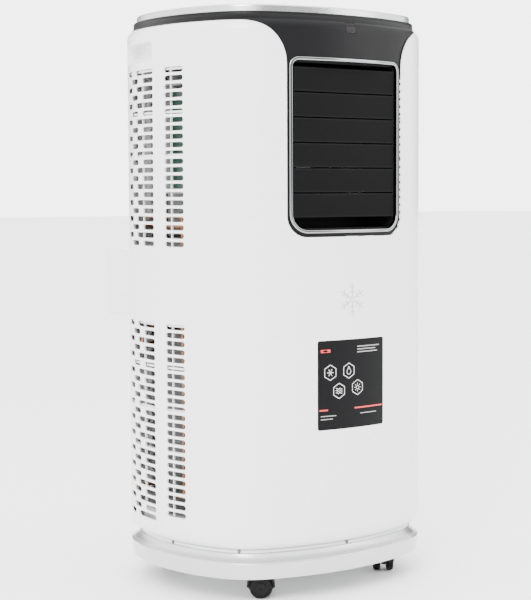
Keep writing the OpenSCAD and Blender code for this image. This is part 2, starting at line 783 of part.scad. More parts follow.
lower_fan = [55, 240];  // x and z of the lower fan's axis
lower_fan_r = 78;
lower_scroll_r = 95;
lower_scroll_y = [20, 95];
lower_out_x = [58, 146];
duct_floor_z = collar_z - collar_h / 2;
module lower_scroll() {
    color([0.85, 0.86, 0.87]) placed() difference() {
        translate([0, lower_scroll_y[1], 0]) rotate([90, 0, 0])
            linear_extrude(lower_scroll_y[1] - lower_scroll_y[0]) {
                translate(lower_fan) circle(r = lower_scroll_r);
                translate([lower_out_x[0], lower_fan.y])
                    square([lower_out_x[1] - lower_out_x[0], duct_floor_z - fit_gap - lower_fan.y]);
            }
        translate([0, lower_scroll_y[1] - sheet, 0]) rotate([90, 0, 0])
            linear_extrude(lower_scroll_y[1] - lower_scroll_y[0] - 2 * sheet) {
                translate(lower_fan) circle(r = lower_scroll_r - sheet);
                translate([lower_out_x[0] + sheet, lower_fan.y])
                    square([lower_out_x[1] - lower_out_x[0] - 2 * sheet, duct_floor_z - lower_fan.y + 1]);
            }
        rod_y(lower_scroll_y[0] + 5, big, lower_fan.x, lower_fan.y, 62);
        rod_y(0, big, lower_fan.x, lower_fan.y, 16);
    }
}
module lower_blower() {
    color([0.3, 0.31, 0.33]) placed() translate([lower_fan.x, 26, lower_fan.y]) rotate([-90, 0, 0])
        fan_wheel(lower_fan_r, 60, -38, 8);
}
module lower_motor() {
    color(steel) placed() {
        translate([lower_fan.x, 17, lower_fan.y]) rotate([90, 0, 0]) fan_motor(50);
        box([lower_fan.x - 15, -28, pan_z + pan_floor], [lower_fan.x + 15, 12, lower_fan.y - motor_r + 4]);
    }
}

// ---- Exhaust ----

duct_front_y = 15;
collar_root_y = 120;
collar_wall = 3;
collar_r = 6;
function collar_outline(shrink) = round_rect([shrink - collar_w / 2, collar_z - collar_h / 2 + shrink],
    [collar_w / 2 - shrink, collar_z + collar_h / 2 - shrink], collar_r - shrink / 2, collar_r - shrink / 2);

module exhaust_collar() {
    color(white) placed() difference() {
        translate([0, collar_y, 0]) rotate([90, 0, 0]) linear_extrude(collar_y - collar_root_y)
            polygon(collar_outline(0));
        translate([0, collar_y + 1, 0]) rotate([90, 0, 0]) linear_extrude(collar_y - collar_root_y + 2)
            polygon(collar_outline(collar_wall));
    }
}

module exhaust_duct() {
    inner_x = collar_w / 2 - sheet;
    roof_z = collar_z + collar_h / 2;
    color([0.85, 0.86, 0.87]) placed() difference() {
        box([-collar_w / 2, duct_front_y, duct_floor_z], [collar_w / 2, collar_root_y - fit_gap, roof_z]);
        box([-inner_x, duct_front_y + sheet, duct_floor_z + sheet], [inner_x, big, roof_z - sheet]);
        box([lower_out_x[0] + sheet, lower_scroll_y[0] + sheet, 0],
            [lower_out_x[1] - sheet, lower_scroll_y[1] - sheet, collar_z]);
    }
}

// ---- Refrigerant circuit ----

comp = [-88, -58];
comp_r = 56;
comp_z = [100, 320];
lug_r = 66;
accum = [-4, -72];
accum_r = 20;

module compressor() {
    color([0.12, 0.12, 0.13]) placed() {
        translate([comp.x, comp.y, 0]) rotate_extrude() polygon(concat(
            [[0, comp_z[0]], [comp_r - 8, comp_z[0]]],
            arc([comp_r - 12, comp_z[0] + 12], 12, -50, 0),
            arc([comp_r - 30, comp_z[1] - 30], 30, 0, 60),
            [[0, comp_z[1] + 4]]));
        difference() {
            translate([comp.x, comp.y, comp_z[0] - 4]) for (k = [0:2]) rotate([0, 0, 90 + k * 120])
                translate([0, -14, 0]) cube([lug_r + 12, 28, 4.1]);
            for (k = [0:2]) translate(comp + lug_r * turned(90 + k * 120)) cylinder(h = comp_z[1], r = 5);
        }
        rod_z(150, 270, accum.x, accum.y, accum_r);
        box([comp.x + comp_r - 3, accum.y - 6, 200], [accum.x - accum_r + 3, accum.y + 6, 212]);
    }
}
module compressor_feet() {
    color([0.1, 0.1, 0.1]) placed() for (k = [0:2]) {
        translate([comp.x + lug_r * cos(90 + k * 120), comp.y + lug_r * sin(90 + k * 120), 0]) {
            rod_z(pan_z + pan_floor, comp_z[0] - 4, 0, 0, foot_r);
            rod_z(comp_z[0] - 5, comp_z[0] + 4, 0, 0, 4.9);
        }
    }
}
module discharge_pipe() {
    color(copper) placed() pipe([[comp.x - 20, comp.y - 10, comp_z[1] - 2], [comp.x - 20, comp.y - 10, 376],
        [comp.x - 20, 4, 376], [-160, 4, 376], [-160, 127, 376], [-160, 127, 350], [-135.2, 127, 350]], 4);
}
module suction_pipe() {
    color(copper) placed() pipe([
        [-122.2, 127, 532], [suction_hole.x, 127, 532], [suction_hole.x, suction_hole.y, 532],
        [suction_hole.x, suction_hole.y, 356], [accum.x, suction_hole.y, 356], [accum.x, accum.y, 356],
        [accum.x, accum.y, 270.1]], 5);
}
module liquid_pipe() {
    color(copper) placed() pipe([
        [-135.2, 127, 134], [liquid_hole.x, 127, 134], [liquid_hole.x, liquid_hole.y, 134],
        [liquid_hole.x, liquid_hole.y, 546], [liquid_hole.x, 127, 546], [-122.2, 127, 546]], 2.5);
}

// ---- Electrics ----

ebox_x = [-166, -112];
ebox_y = [-60, 50];
ebox_z = [580, 740];
module control_box() {
    color([0.85, 0.85, 0.83]) placed() difference() {
        union() {
            box([ebox_x[0], ebox_y[0], ebox_z[0]], [ebox_x[1], ebox_y[1], ebox_z[1]]);
            for (y = [ebox_y[0], ebox_y[1] - 6])
                box([ebox_x[1] - 8, y, deck_z + 3], [ebox_x[1], y + 6, ebox_z[0] + 1]);
        }
        box([ebox_x[0] - 1, ebox_y[0] + 2, ebox_z[0] + 2], [ebox_x[1] - 2, ebox_y[1] - 2, ebox_z[1] - 2]);
    }
}
module circuit_board() {
    color([0.1, 0.35, 0.2]) placed() {
        box([-156, ebox_y[0] + 2, ebox_z[0] + 8], [-154.4, ebox_y[1] - 2, ebox_z[1] - 8]);
        box([-154.5, -40, 680], [-134, -10, 715]);
        box([-154.5, 8, 670], [-140, 34, 700]);
        for (i = [0:3]) box([-154.5, 4 + i * 10, 600], [-140, 11 + i * 10, 616]);
    }
}
module run_capacitor() {
    color([0.7, 0.7, 0.72]) placed() rod_z(ebox_z[0] + 2, ebox_z[0] + 66, -132, -32, 16);
}
module cord_gland() {
    color([0.1, 0.1, 0.1]) placed() difference() {
        union() {
            rod_y(164, back_y + 1, gland_x, gland_z, gland_r);
            rod_y(back_y, back_y + 4, gland_x, gland_z, gland_r + 3);
        }
        rod_y(0, big, gland_x, gland_z, 4.5);
    }
}

module drain_plug(z) {
    color([0.1, 0.1, 0.1]) placed() {
        rod_y(back_y + 2, back_y + 14.1, 0, z, drain_bore_r - run_gap);
        rod_y(back_y + 14.1, back_y + 18, 0, z, drain_r - 0.5);
        rod_y(back_y + 17, back_y + 22, 0, z, 4);
    }
}
module deck_drain_plug() { drain_plug(drain_z); }
module base_drain_plug() { drain_plug(base_drain_z); }

base_ring();
base_pan();
front_shell();
rear_shell();
upper_grille();
lower_grille();
upper_filter();
lower_filter();
top_cover();
top_trim();
control_panel();
button_power();
button_mode();
button_fan();
button_timer();
button_plus();
button_minus();
receiver_window();
outlet_bezel();
outlet_duct();
louvre(0);  // louvre_1
louvre(1);  // louvre_2
louvre(2);  // louvre_3
louvre(3);  // louvre_4
louvre(4);  // louvre_5
louvre(5);  // louvre_6
louvre_link();
swing_motor();
front_label();
mid_deck();
evaporator();
condenser();
upper_scroll();
upper_blower();
upper_motor();
lower_scroll();
lower_blower();
lower_motor();
exhaust_duct();
exhaust_collar();
compressor();
compressor_feet();
discharge_pipe();
suction_pipe();
liquid_pipe();
control_box();
circuit_board();
run_capacitor();
deck_drain_plug();
base_drain_plug();
cord_gland();
caster_fork_at(0);  // caster_fork_fl
caster_fork_at(1);  // caster_fork_fr
caster_fork_at(2);  // caster_fork_rl
caster_fork_at(3);  // caster_fork_rr
caster_wheels_at(0);  // caster_wheels_fl
caster_wheels_at(1);  // caster_wheels_fr
caster_wheels_at(2);  // caster_wheels_rl
caster_wheels_at(3);  // caster_wheels_rr
case_screws();
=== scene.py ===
"""Looks of a portable air conditioner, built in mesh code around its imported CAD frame.

Lengths in the shape code are millimetres around the middle plane of the case; make() turns them into metres
in the row frame. A heading is an angle turned from -Y (the front) towards +X.
"""

import math

import bmesh
import bpy
import numpy as np
from mathutils import Matrix, Vector, kdtree
from mathutils.geometry import delaunay_2d_cdt

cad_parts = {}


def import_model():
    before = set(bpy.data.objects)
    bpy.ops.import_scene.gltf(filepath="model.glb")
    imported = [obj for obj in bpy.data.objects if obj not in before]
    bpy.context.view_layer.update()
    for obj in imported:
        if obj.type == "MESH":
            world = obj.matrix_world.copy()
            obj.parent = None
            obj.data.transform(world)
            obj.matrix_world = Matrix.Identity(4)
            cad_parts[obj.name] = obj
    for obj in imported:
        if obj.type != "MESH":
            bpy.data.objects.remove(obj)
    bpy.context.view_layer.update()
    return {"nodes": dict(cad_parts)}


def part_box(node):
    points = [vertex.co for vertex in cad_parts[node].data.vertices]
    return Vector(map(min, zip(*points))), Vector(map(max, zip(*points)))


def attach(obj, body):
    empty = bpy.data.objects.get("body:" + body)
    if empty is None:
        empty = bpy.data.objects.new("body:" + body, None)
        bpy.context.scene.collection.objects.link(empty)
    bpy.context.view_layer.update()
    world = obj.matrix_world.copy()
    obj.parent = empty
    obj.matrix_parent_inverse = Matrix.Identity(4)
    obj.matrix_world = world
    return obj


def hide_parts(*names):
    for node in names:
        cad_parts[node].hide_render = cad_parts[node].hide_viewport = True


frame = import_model()

# ---- Driving dimensions of the case, in millimetres ----

CASE_HALF = 215.0
FRONT_Y, BACK_Y = -182.0, 184.0
FRONT_R, SIDE_R, BACK_R = 375.0, 258.0, 420.0
FRONT_CORNER_R, BACK_CORNER_R = 100.0, 110.0
SIDE_Y = 8.0
WALL = 2.5
SKIN = 0.08  # the painted and moulded skins lie this far inside the CAD box, to leave room for thin prints
SEAM_Y = -4.0
SEAM_GAP = 0.3
SHELL_Z = (77.0, 820.0)
TOP_ROUND = (14.0, 10.0)  # height and inset of the rounded top edge
LOW_ROUND = (19.0, 15.0)  # height and inset of the rounded bottom edge
BAND_TOP_Z = 832.0
BAND_INSET = 10.0
APRON_HALF, APRON_Z, APRON_R, SWEEP_R, APRON_INSET = 106.0, 518.0, 30.0, 60.0, 4.0
VENT_PITCH, VENT_H = 11.75, 7.5
UPPER_VENTS, LOWER_VENTS = (508.0, 22), (119.0, 24)
FRONT_SPANS = [[(-57, -19)]]
REAR_SPANS = [[(8, 40), (54, 84), (98, 126)], [(8, 63), (77, 106)]]
COLLAR_Z = 443.0
SHIFT_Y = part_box("front_shell")[0].y * 1000 - FRONT_Y


def box_mm(node):
    """Lowest and highest corners of a CAD node, in millimetres around the middle plane of the case."""
    low, high = (np.array(c) * 1000 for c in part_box(node))
    return low - (0, SHIFT_Y, 0), high - (0, SHIFT_Y, 0)


# ---- Outline of the case ----


def crossing(p, rp, q, rq):
    """Crossing of two circles on the +X side of the line between their centres."""
    way = q - p
    gap = np.linalg.norm(way)
    along = (rp * rp - rq * rq + gap * gap) / (2 * gap)
    across = math.sqrt(rp * rp - along * along)
    u = way / gap
    side = np.array([-u[1], u[0]]) if u[1] < 0 else np.array([u[1], -u[0]])
    return p + along * u + across * side


FRONT_C = np.array([0, FRONT_Y + FRONT_R])
BACK_C = np.array([0, BACK_Y - BACK_R])
SIDE_C = np.array([CASE_HALF - SIDE_R, SIDE_Y])
FRONT_CORNER_C = crossing(FRONT_C, FRONT_R - FRONT_CORNER_R, SIDE_C, SIDE_R - FRONT_CORNER_R)
BACK_CORNER_C = crossing(BACK_C, BACK_R - BACK_CORNER_R, SIDE_C, SIDE_R - BACK_CORNER_R)
CENTRES = np.array([FRONT_C, FRONT_CORNER_C, SIDE_C, BACK_CORNER_C, BACK_C])
RADII = np.array([FRONT_R, FRONT_CORNER_R, SIDE_R, BACK_CORNER_R, BACK_R])


def heading_of(v):
    return math.degrees(math.atan2(v[0], -v[1]))


TURNS = np.array(
    [
        heading_of(FRONT_CORNER_C - FRONT_C),
        heading_of(FRONT_CORNER_C - SIDE_C),
        heading_of(BACK_CORNER_C - SIDE_C),
        heading_of(BACK_CORNER_C - BACK_C),
    ]
)


def rim(a, inset):
    """Points of the outline with headings a, in degrees from -180 to 180, moved in by inset."""
    a, inset = np.broadcast_arrays(np.asarray(a, float), np.asarray(inset, float))
    k = np.searchsorted(TURNS, np.abs(a))
    t = np.radians(np.abs(a))
    r = RADII[k] - inset
    x = CENTRES[k, 0] + r * np.sin(t)
    y = CENTRES[k, 1] - r * np.cos(t)
    return np.stack([np.where(a < 0, -x, x), y], -1)


HEADINGS = np.linspace(-180, 180, 7201)
_steps = np.linalg.norm(np.diff(rim(HEADINGS, 0), axis=0), axis=1)
ARC = np.concatenate([[0], np.cumsum(_steps)])
ARC -= ARC[-1] / 2
GIRTH = ARC[-1] * 2


def arc_of(a):
    return np.interp(a, HEADINGS, ARC)


def heading_at(s):
    return np.interp(s, ARC, HEADINGS)


def bisect(f, low, high, target):
    low, high = np.full(target.shape, float(low)), np.full(target.shape, float(high))
    for _ in range(40):
        mid = (low + high) / 2
        below = f(mid) < target
        low, high = np.where(below, mid, low), np.where(below, high, mid)
    return (low + high) / 2


def heading_of_x(x, inset=0.0):
    """Heading of the point of the front half of the outline that lies at x."""
    return bisect(lambda a: rim(a, inset)[..., 0], -90, 90, np.asarray(x, float))


def heading_of_x_back(x, inset=0.0):
    """Heading, from 90 to 270, of the point of the back half of the outline that lies at x."""
    flip = lambda a: np.where(a > 180, a - 360, a)
    return bisect(lambda a: -rim(flip(a), inset)[..., 0], 90, 270, -np.asarray(x, float))


def heading_of_y(y, side, inset=0.0):
    return side * bisect(lambda a: rim(a, inset)[..., 1], 0, 180, np.asarray(y, float))


# ---- Vertical profiles: how far the skin lies inside the outline at each height ----


class Profile:
    """A curve of inset against height, walked by its length v."""

    def __init__(self, points):
        p = np.array(points, float)
        self.inset, self.z = p[:, 0], p[:, 1]
        self.v = np.concatenate([[0], np.cumsum(np.linalg.norm(np.diff(p, axis=0), axis=1))])

    def v_of_z(self, z):
        return np.interp(z, self.z, self.v)

    def inset_of_z(self, z):
        return np.interp(z, self.z, self.inset)

    def at(self, s, v, depth=0.0):
        """Point and normal of the skin at arc length s around the case and v along the profile."""
        a = heading_at(s)
        inset, z = np.interp(v, self.v, self.inset), np.interp(v, self.v, self.z)
        step = 0.4
        d_inset = np.interp(v + step, self.v, self.inset) - np.interp(v - step, self.v, self.inset)
        d_z = np.interp(v + step, self.v, self.z) - np.interp(v - step, self.v, self.z)
        size = np.hypot(d_inset, d_z)
        out, up = d_z / size, d_inset / size
        t = np.radians(a)
        normal = np.stack([np.sin(t) * out, -np.cos(t) * out, up], -1)
        p = rim(a, inset)
        point = np.stack([p[..., 0], p[..., 1], z], -1) - normal * np.asarray(depth)[..., None]
        return point, normal


def quarter(c, ru, rv, t0, t1, n):
    """Points of a quarter ellipse in (inset, z)."""
    t = np.radians(np.linspace(t0, t1, n))
    return [(c[0] - ru * math.cos(x), c[1] + rv * math.sin(x)) for x in t]


SHELL = Profile(
    quarter((LOW_ROUND[1] + SKIN, SHELL_Z[0] + LOW_ROUND[0]), LOW_ROUND[1], LOW_ROUND[0], -89, 0, 28)
    + quarter((TOP_ROUND[1] + SKIN, SHELL_Z[1] - TOP_ROUND[0]), TOP_ROUND[1], TOP_ROUND[0], 0, 89, 24)
)
COVER_TOP_R = 1.6
COVER = Profile(
    [(APRON_INSET, APRON_Z - 10)]
    + quarter((BAND_INSET, SHELL_Z[1] - 12), BAND_INSET - APRON_INSET, 14, 0, 88, 20)
    + quarter((BAND_INSET + COVER_TOP_R, BAND_TOP_Z - COVER_TOP_R), COVER_TOP_R, COVER_TOP_R, 0, 88, 8)
)

# ---- Mesh making ----


class Mesh:
    """Collects faces, with a material index each and, where given, a normal for each corner."""

    def __init__(self):
        self.verts, self.faces, self.normals, self.slots = [], [], [], []
        self.count = 0

    def add(self, points):
        points = np.asarray(points, float).reshape(-1, 3)
        start = self.count
        self.verts.append(points)
        self.count += len(points)
        return np.arange(start, self.count)

    def face(self, ids, normals=None, slot=0):
        self.faces.append([int(i) for i in ids])
        self.normals.append(np.zeros((len(ids), 3)) if normals is None else np.asarray(normals, float))
        self.slots.append(slot)

    def quads(self, rows, closed_i=False, closed_j=False, slot=0, normals=None, flip=False):
        """Quads between neighbouring rows of vertex numbers."""
        rows = [list(r) for r in rows]
        n, m = len(rows), len(rows[0])
        for i in range(n if closed_i else n - 1):
            for j in range(m if closed_j else m - 1):
                i2, j2 = (i + 1) % n, (j + 1) % m
                corners = [(i, j), (i2, j), (i2, j2), (i, j2)]
                if flip:
                    corners.reverse()
                ids = [rows[a][b] for a, b in corners]
                self.face(ids, None if normals is None else [normals[a][b] for a, b in corners], slot)

    def loft(self, loops, closed_i=False, caps=False, slot=0, flip=False):
        """Quads through closed loops of points, with a face over each end if caps is set."""
        ids = [self.add(p) for p in loops]
        self.quads(ids, closed_i=closed_i, closed_j=True, slot=slot, flip=flip)
        if caps:
            first, last = list(ids[0]), list(ids[-1])
            self.face(first if not flip else first[::-1], slot=slot)
            self.face(last[::-1] if not flip else last, slot=slot)
        return ids


MADE = {}


def make(name, mesh, body, materials, replaces=(), sharp=35.0):
    """Turns a Mesh into an object in metres in the row frame that rides on a body."""
    verts = np.concatenate(mesh.verts)
    verts = (verts + (0, SHIFT_Y, 0)) / 1000
    data = bpy.data.meshes.new(name)
    data.from_pydata(verts.tolist(), [], mesh.faces)
    data.polygons.foreach_set("material_index", mesh.slots)
    face_outward(data)
    data.polygons.foreach_set("use_smooth", [True] * len(mesh.faces))
    data.set_sharp_from_angle(angle=math.radians(sharp))
    if any(n.any() for n in mesh.normals):
        corners = []
        for face, given, ids in zip(data.polygons, mesh.normals, mesh.faces):
            lookup = dict(zip(ids, given))
            corners += [lookup[i] for i in face.vertices]
        data.normals_split_custom_set([tuple(n) for n in corners])
    obj = bpy.data.objects.new(name, data)
    bpy.context.scene.collection.objects.link(obj)
    for m in materials if isinstance(materials, (list, tuple)) else [materials]:
        data.materials.append(m)
    if replaces:
        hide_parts(*replaces)
    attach(obj, body)
    MADE[name] = obj
    return obj


def face_outward(data):
    work = bmesh.new()
    work.from_mesh(data)
    bmesh.ops.recalc_face_normals(work, faces=work.faces)
    work.to_mesh(data)
    work.free()


def arc_points(c, r, a0, a1, n=8):
    t = np.radians(np.linspace(a0, a1, n + 1))
    return np.stack([c[0] + r * np.cos(t), c[1] + r * np.sin(t)], -1)


def round_rect(low, high, r_low, r_high=None, n=8):
    """Anticlockwise rectangle with one corner radius at its bottom and another at its top."""
    r_high = r_low if r_high is None else r_high
    return np.concatenate(
        [
            arc_points((low[0] + r_low, low[1] + r_low), r_low, 180, 270, n),
            arc_points((high[0] - r_low, low[1] + r_low), r_low, 270, 360, n),
            arc_points((high[0] - r_high, high[1] - r_high), r_high, 0, 90, n),
            arc_points((low[0] + r_high, high[1] - r_high), r_high, 90, 180, n),
        ]
    )


def stadium(u0, u1, z, h, n=7):
    r = h / 2
    return np.concatenate([arc_points((u1 - r, z), r, -90, 90, n), arc_points((u0 + r, z), r, 90, 270, n)])


def refine(loop, step, closed=True):
    """Adds points to a loop so that no edge is longer than step."""
    loop = np.asarray(loop, float)
    out = []
    n = len(loop)
    for i in range(n if closed else n - 1):
        p, q = loop[i], loop[(i + 1) % n]
        k = max(1, int(math.ceil(np.linalg.norm(q - p) / step)))
        out += [p + (q - p) * j / k for j in range(k)]
    if not closed:
        out.append(loop[-1])
    out = np.array(out)
    keep = np.linalg.norm(out - np.roll(out, 1, axis=0), axis=1) > 1e-6
    return out[keep] if closed else out


def area(loop):
    x, y = loop[:, 0], loop[:, 1]
    return (x * np.roll(y, -1) - y * np.roll(x, -1)).sum() / 2


def anticlockwise(loop):
    return loop if area(loop) > 0 else loop[::-1]


def loop_normals(loop):
    """Outward directions of an anticlockwise loop's points, stretched at corners so that offsets stay parallel."""
    before, after = loop - np.roll(loop, 1, axis=0), np.roll(loop, -1, axis=0) - loop
    before /= np.linalg.norm(before, axis=1)[:, None]
    after /= np.linalg.norm(after, axis=1)[:, None]
    both = before + after
    both /= np.linalg.norm(both, axis=1)[:, None]
    out = np.stack([both[:, 1], -both[:, 0]], -1)
    stretch = 1 / np.clip((both * after).sum(1), 0.5, 1)
    return out * stretch[:, None]


def triangulate(outer, holes, steiner):
    """Triangles of the region inside outer and outside the holes. Returns points, triangles and loop numbering."""
    loops = [outer] + holes
    coords = [Vector(p) for p in np.concatenate(loops + ([steiner] if len(steiner) else []))]
    starts = np.cumsum([0] + [len(x) for x in loops])
    faces = [list(range(starts[i], starts[i + 1])) for i in range(len(loops))]
    points, _, tris, origin, _, face_of = delaunay_2d_cdt(coords, [], faces, 1, 1e-5)
    where = {}
    for i, sources in enumerate(origin):
        for k in sources:
            where[k] = i
    kept = [t for t, f in zip(tris, face_of) if list(f) == [0]]
    pts = np.array([tuple(p) for p in points])
    kept = [t if area(pts[list(t)]) > 0 else list(t)[::-1] for t in kept]
    ring_ids = [np.array([where[k] for k in f]) for f in faces]
    return pts, kept, ring_ids


def grid_inside(u_lines, v_lines, loops, clearance):
    """Grid points that keep clear of every loop's points."""
    u, v = np.meshgrid(u_lines, v_lines)
    pts = np.stack([u.ravel(), v.ravel()], -1)
    all_points = np.concatenate(loops)
    tree = kdtree.KDTree(len(all_points))
    for i, p in enumerate(all_points):
        tree.insert((p[0], p[1], 0), i)
    tree.balance()
    keep = [tree.find((p[0], p[1], 0))[2] > clearance for p in pts]
    low, high = loops[0].min(0), loops[0].max(0)
    inside = ((pts > low + 0.5 * clearance) & (pts < high - 0.5 * clearance)).all(1)
    return pts[np.array(keep) & inside]


def panel(mesh, surface, outer, holes, u_lines, v_lines, wall=WALL, edge=0.5, hole_edge=0.5,
          pockets=(), slot=0, clearance=2.2, steps=2, deep=None):
    """A closed shell of constant thickness over a region of a surface.

    surface(u, v, depth) gives points and normals. Each hole's rim is rounded by hole_edge and the outer rim
    by edge. Pockets are (loop, depth function) and are closed by a floor. deep gives a hole's own wall depth.
    """
    outer = anticlockwise(np.asarray(outer, float))
    holes = [anticlockwise(np.asarray(h, float)) for h in holes]
    cups = [anticlockwise(np.asarray(p[0], float)) for p in pockets]
    deep = deep or {}
    edges = [hole_edge] * len(holes) + [1.2] * len(cups)
    outer_dir = -loop_normals(outer)
    hole_dirs = [loop_normals(h) for h in holes + cups]
    big_outer = outer + outer_dir * edge
    big_holes = [h + d * e for h, d, e in zip(holes + cups, hole_dirs, edges)]
    steiner = grid_inside(u_lines, v_lines, [big_outer] + big_holes, clearance)
    pts, tris, rings = triangulate(big_outer, big_holes, steiner)
    front, normal = surface(pts[:, 0], pts[:, 1], np.zeros(len(pts)))
    inner_uv = pts.copy()
    for ring, loop in zip(rings, [outer] + holes + cups):
        inner_uv[ring] = loop
    back, back_normal = surface(inner_uv[:, 0], inner_uv[:, 1], np.full(len(pts), wall))
    used = np.zeros(len(pts), bool)
    used[[i for t in tris for i in t]] = True
    number = np.cumsum(used) - 1
    front_ids = mesh.add(front[used])
    back_ids = mesh.add(back[used])
    for t in tris:
        mesh.face([front_ids[number[i]] for i in t], normal[list(t)], slot)
        mesh.face([back_ids[number[i]] for i in t[::-1]], -back_normal[list(t[::-1])], slot)
    loops = [(outer, outer_dir, edge, rings[0], True)]
    loops += [(h, d, e, r, False) for h, d, e, r in zip(holes + cups, hole_dirs, edges, rings[1:])]
    for k, (loop, away, e, ring, is_outer) in enumerate(loops):
        rows, row_normals = [[front_ids[number[i]] for i in ring]], [normal[ring]]
        at, n_at = surface(loop[:, 0], loop[:, 1], np.zeros(len(loop)))
        ahead, _ = surface(*(loop - away * 0.05).T, np.zeros(len(loop)))
        side = ahead - at
        side -= (side * n_at).sum(1)[:, None] * n_at
        side /= np.linalg.norm(side, axis=1)[:, None]
        cup = k > len(holes)
        count = steps if not cup else 4
        for j in range(1, count + 1):
            phi = math.pi / 2 * j / count
            uv = loop + away * e * (1 - math.sin(phi))
            p, n = surface(uv[:, 0], uv[:, 1], np.full(len(loop), e * (1 - math.cos(phi))))
            rows.append(mesh.add(p))
            row_normals.append(n * math.cos(phi) + side * math.sin(phi))
        if cup:
            close_pocket(mesh, surface, loop, rows, row_normals, side, pockets[k - 1 - len(holes)][1], slot,
                         [back_ids[number[i]] for i in ring], wall)
            continue
        if k in deep:
            p, n = surface(loop[:, 0], loop[:, 1], np.full(len(loop), 0.0))
            p = deep[k](p)
            rows.append(mesh.add(p))
            row_normals.append(side)
            mesh.quads(rows, closed_j=True, slot=slot, normals=row_normals, flip=is_outer)
            out_uv = loop + away * wall
            q, _ = surface(out_uv[:, 0], out_uv[:, 1], np.full(len(loop), 0.0))
            q = deep[k](q)
            tail = [rows[-1], mesh.add(q), [back_ids[number[i]] for i in ring]]
            mesh.quads(tail, closed_j=True, slot=slot, normals=[side * 0 + n, n, -side], flip=is_outer)
            continue
        rows.append([back_ids[number[i]] for i in ring])
        row_normals.append(side)
        mesh.quads(rows, closed_j=True, slot=slot, normals=row_normals, flip=is_outer)


def close_pocket(mesh, surface, loop, rows, row_normals, side, depth_of, slot, back_ring, wall):
    """Walls and floor of a pocket whose rim has been rounded, and the outside of its cup behind."""
    low, high = loop.min(0), loop.max(0)
    shrunk = loop - loop_normals(loop) * 3.0
    inside = grid_inside(np.arange(low[0] + 4, high[0], 5), np.arange(low[1] + 4, high[1], 3), [shrunk], 2.0)
    pts, tris, rings = triangulate(shrunk, [], inside)
    floor_depth = depth_of(pts[:, 0], pts[:, 1])
    floor, _ = surface(pts[:, 0], pts[:, 1], floor_depth)
    normal = floor * 0
    for t in tris:
        a, b, c = floor[list(t)]
        normal[list(t)] += np.cross(b - a, c - a)
    normal /= np.maximum(np.linalg.norm(normal, axis=1), 1e-9)[:, None]
    ids = mesh.add(floor)
    for t in tris:
        mesh.face([ids[i] for i in t], normal[list(t)], slot)
    rim_depth = depth_of(shrunk[:, 0], shrunk[:, 1])
    for share in (0.0, 0.5, 1.0):
        uv = loop * (1 - share) + shrunk * share
        depth = np.maximum(rim_depth - 3.0 * (1 - math.sin(math.pi / 2 * share)), 1.3)
        if share == 1.0:
            rows.append([ids[i] for i in rings[0]])
            row_normals.append(normal[rings[0]])
        else:
            p, n = surface(uv[:, 0], uv[:, 1], depth)
            rows.append(mesh.add(p))
            turn = math.pi / 2 * share
            row_normals.append(side * math.cos(turn) + n * math.sin(turn))
    mesh.quads(rows, closed_j=True, slot=slot, normals=row_normals)
    grown = loop + loop_normals(loop) * 0.01
    behind, n = surface(grown[:, 0], grown[:, 1], np.maximum(rim_depth, 1.3) + wall)
    outside = [mesh.add(behind), back_ring]
    mesh.quads(outside, closed_j=True, slot=slot, normals=[-side, -side])
    cap, _ = surface(pts[:, 0], pts[:, 1], floor_depth + wall)
    cap_ids = mesh.add(cap)
    for t in tris:
        mesh.face([cap_ids[i] for i in t[::-1]], -normal[list(t[::-1])], slot)
    mesh.quads([[cap_ids[i] for i in rings[0]], outside[0]], closed_j=True, slot=slot)


# ---- Materials: every one is procedural and has its own grain, roughness and bump ----


def connect(tree, a, b):
    tree.links.new(a, b)


def node_of(tree, kind, inputs=None, **settings):
    n = tree.nodes.new(kind)
    for k, v in settings.items():
        setattr(n, k, v)
    for k, v in (inputs or {}).items():
        n.inputs[k].default_value = v
    return n


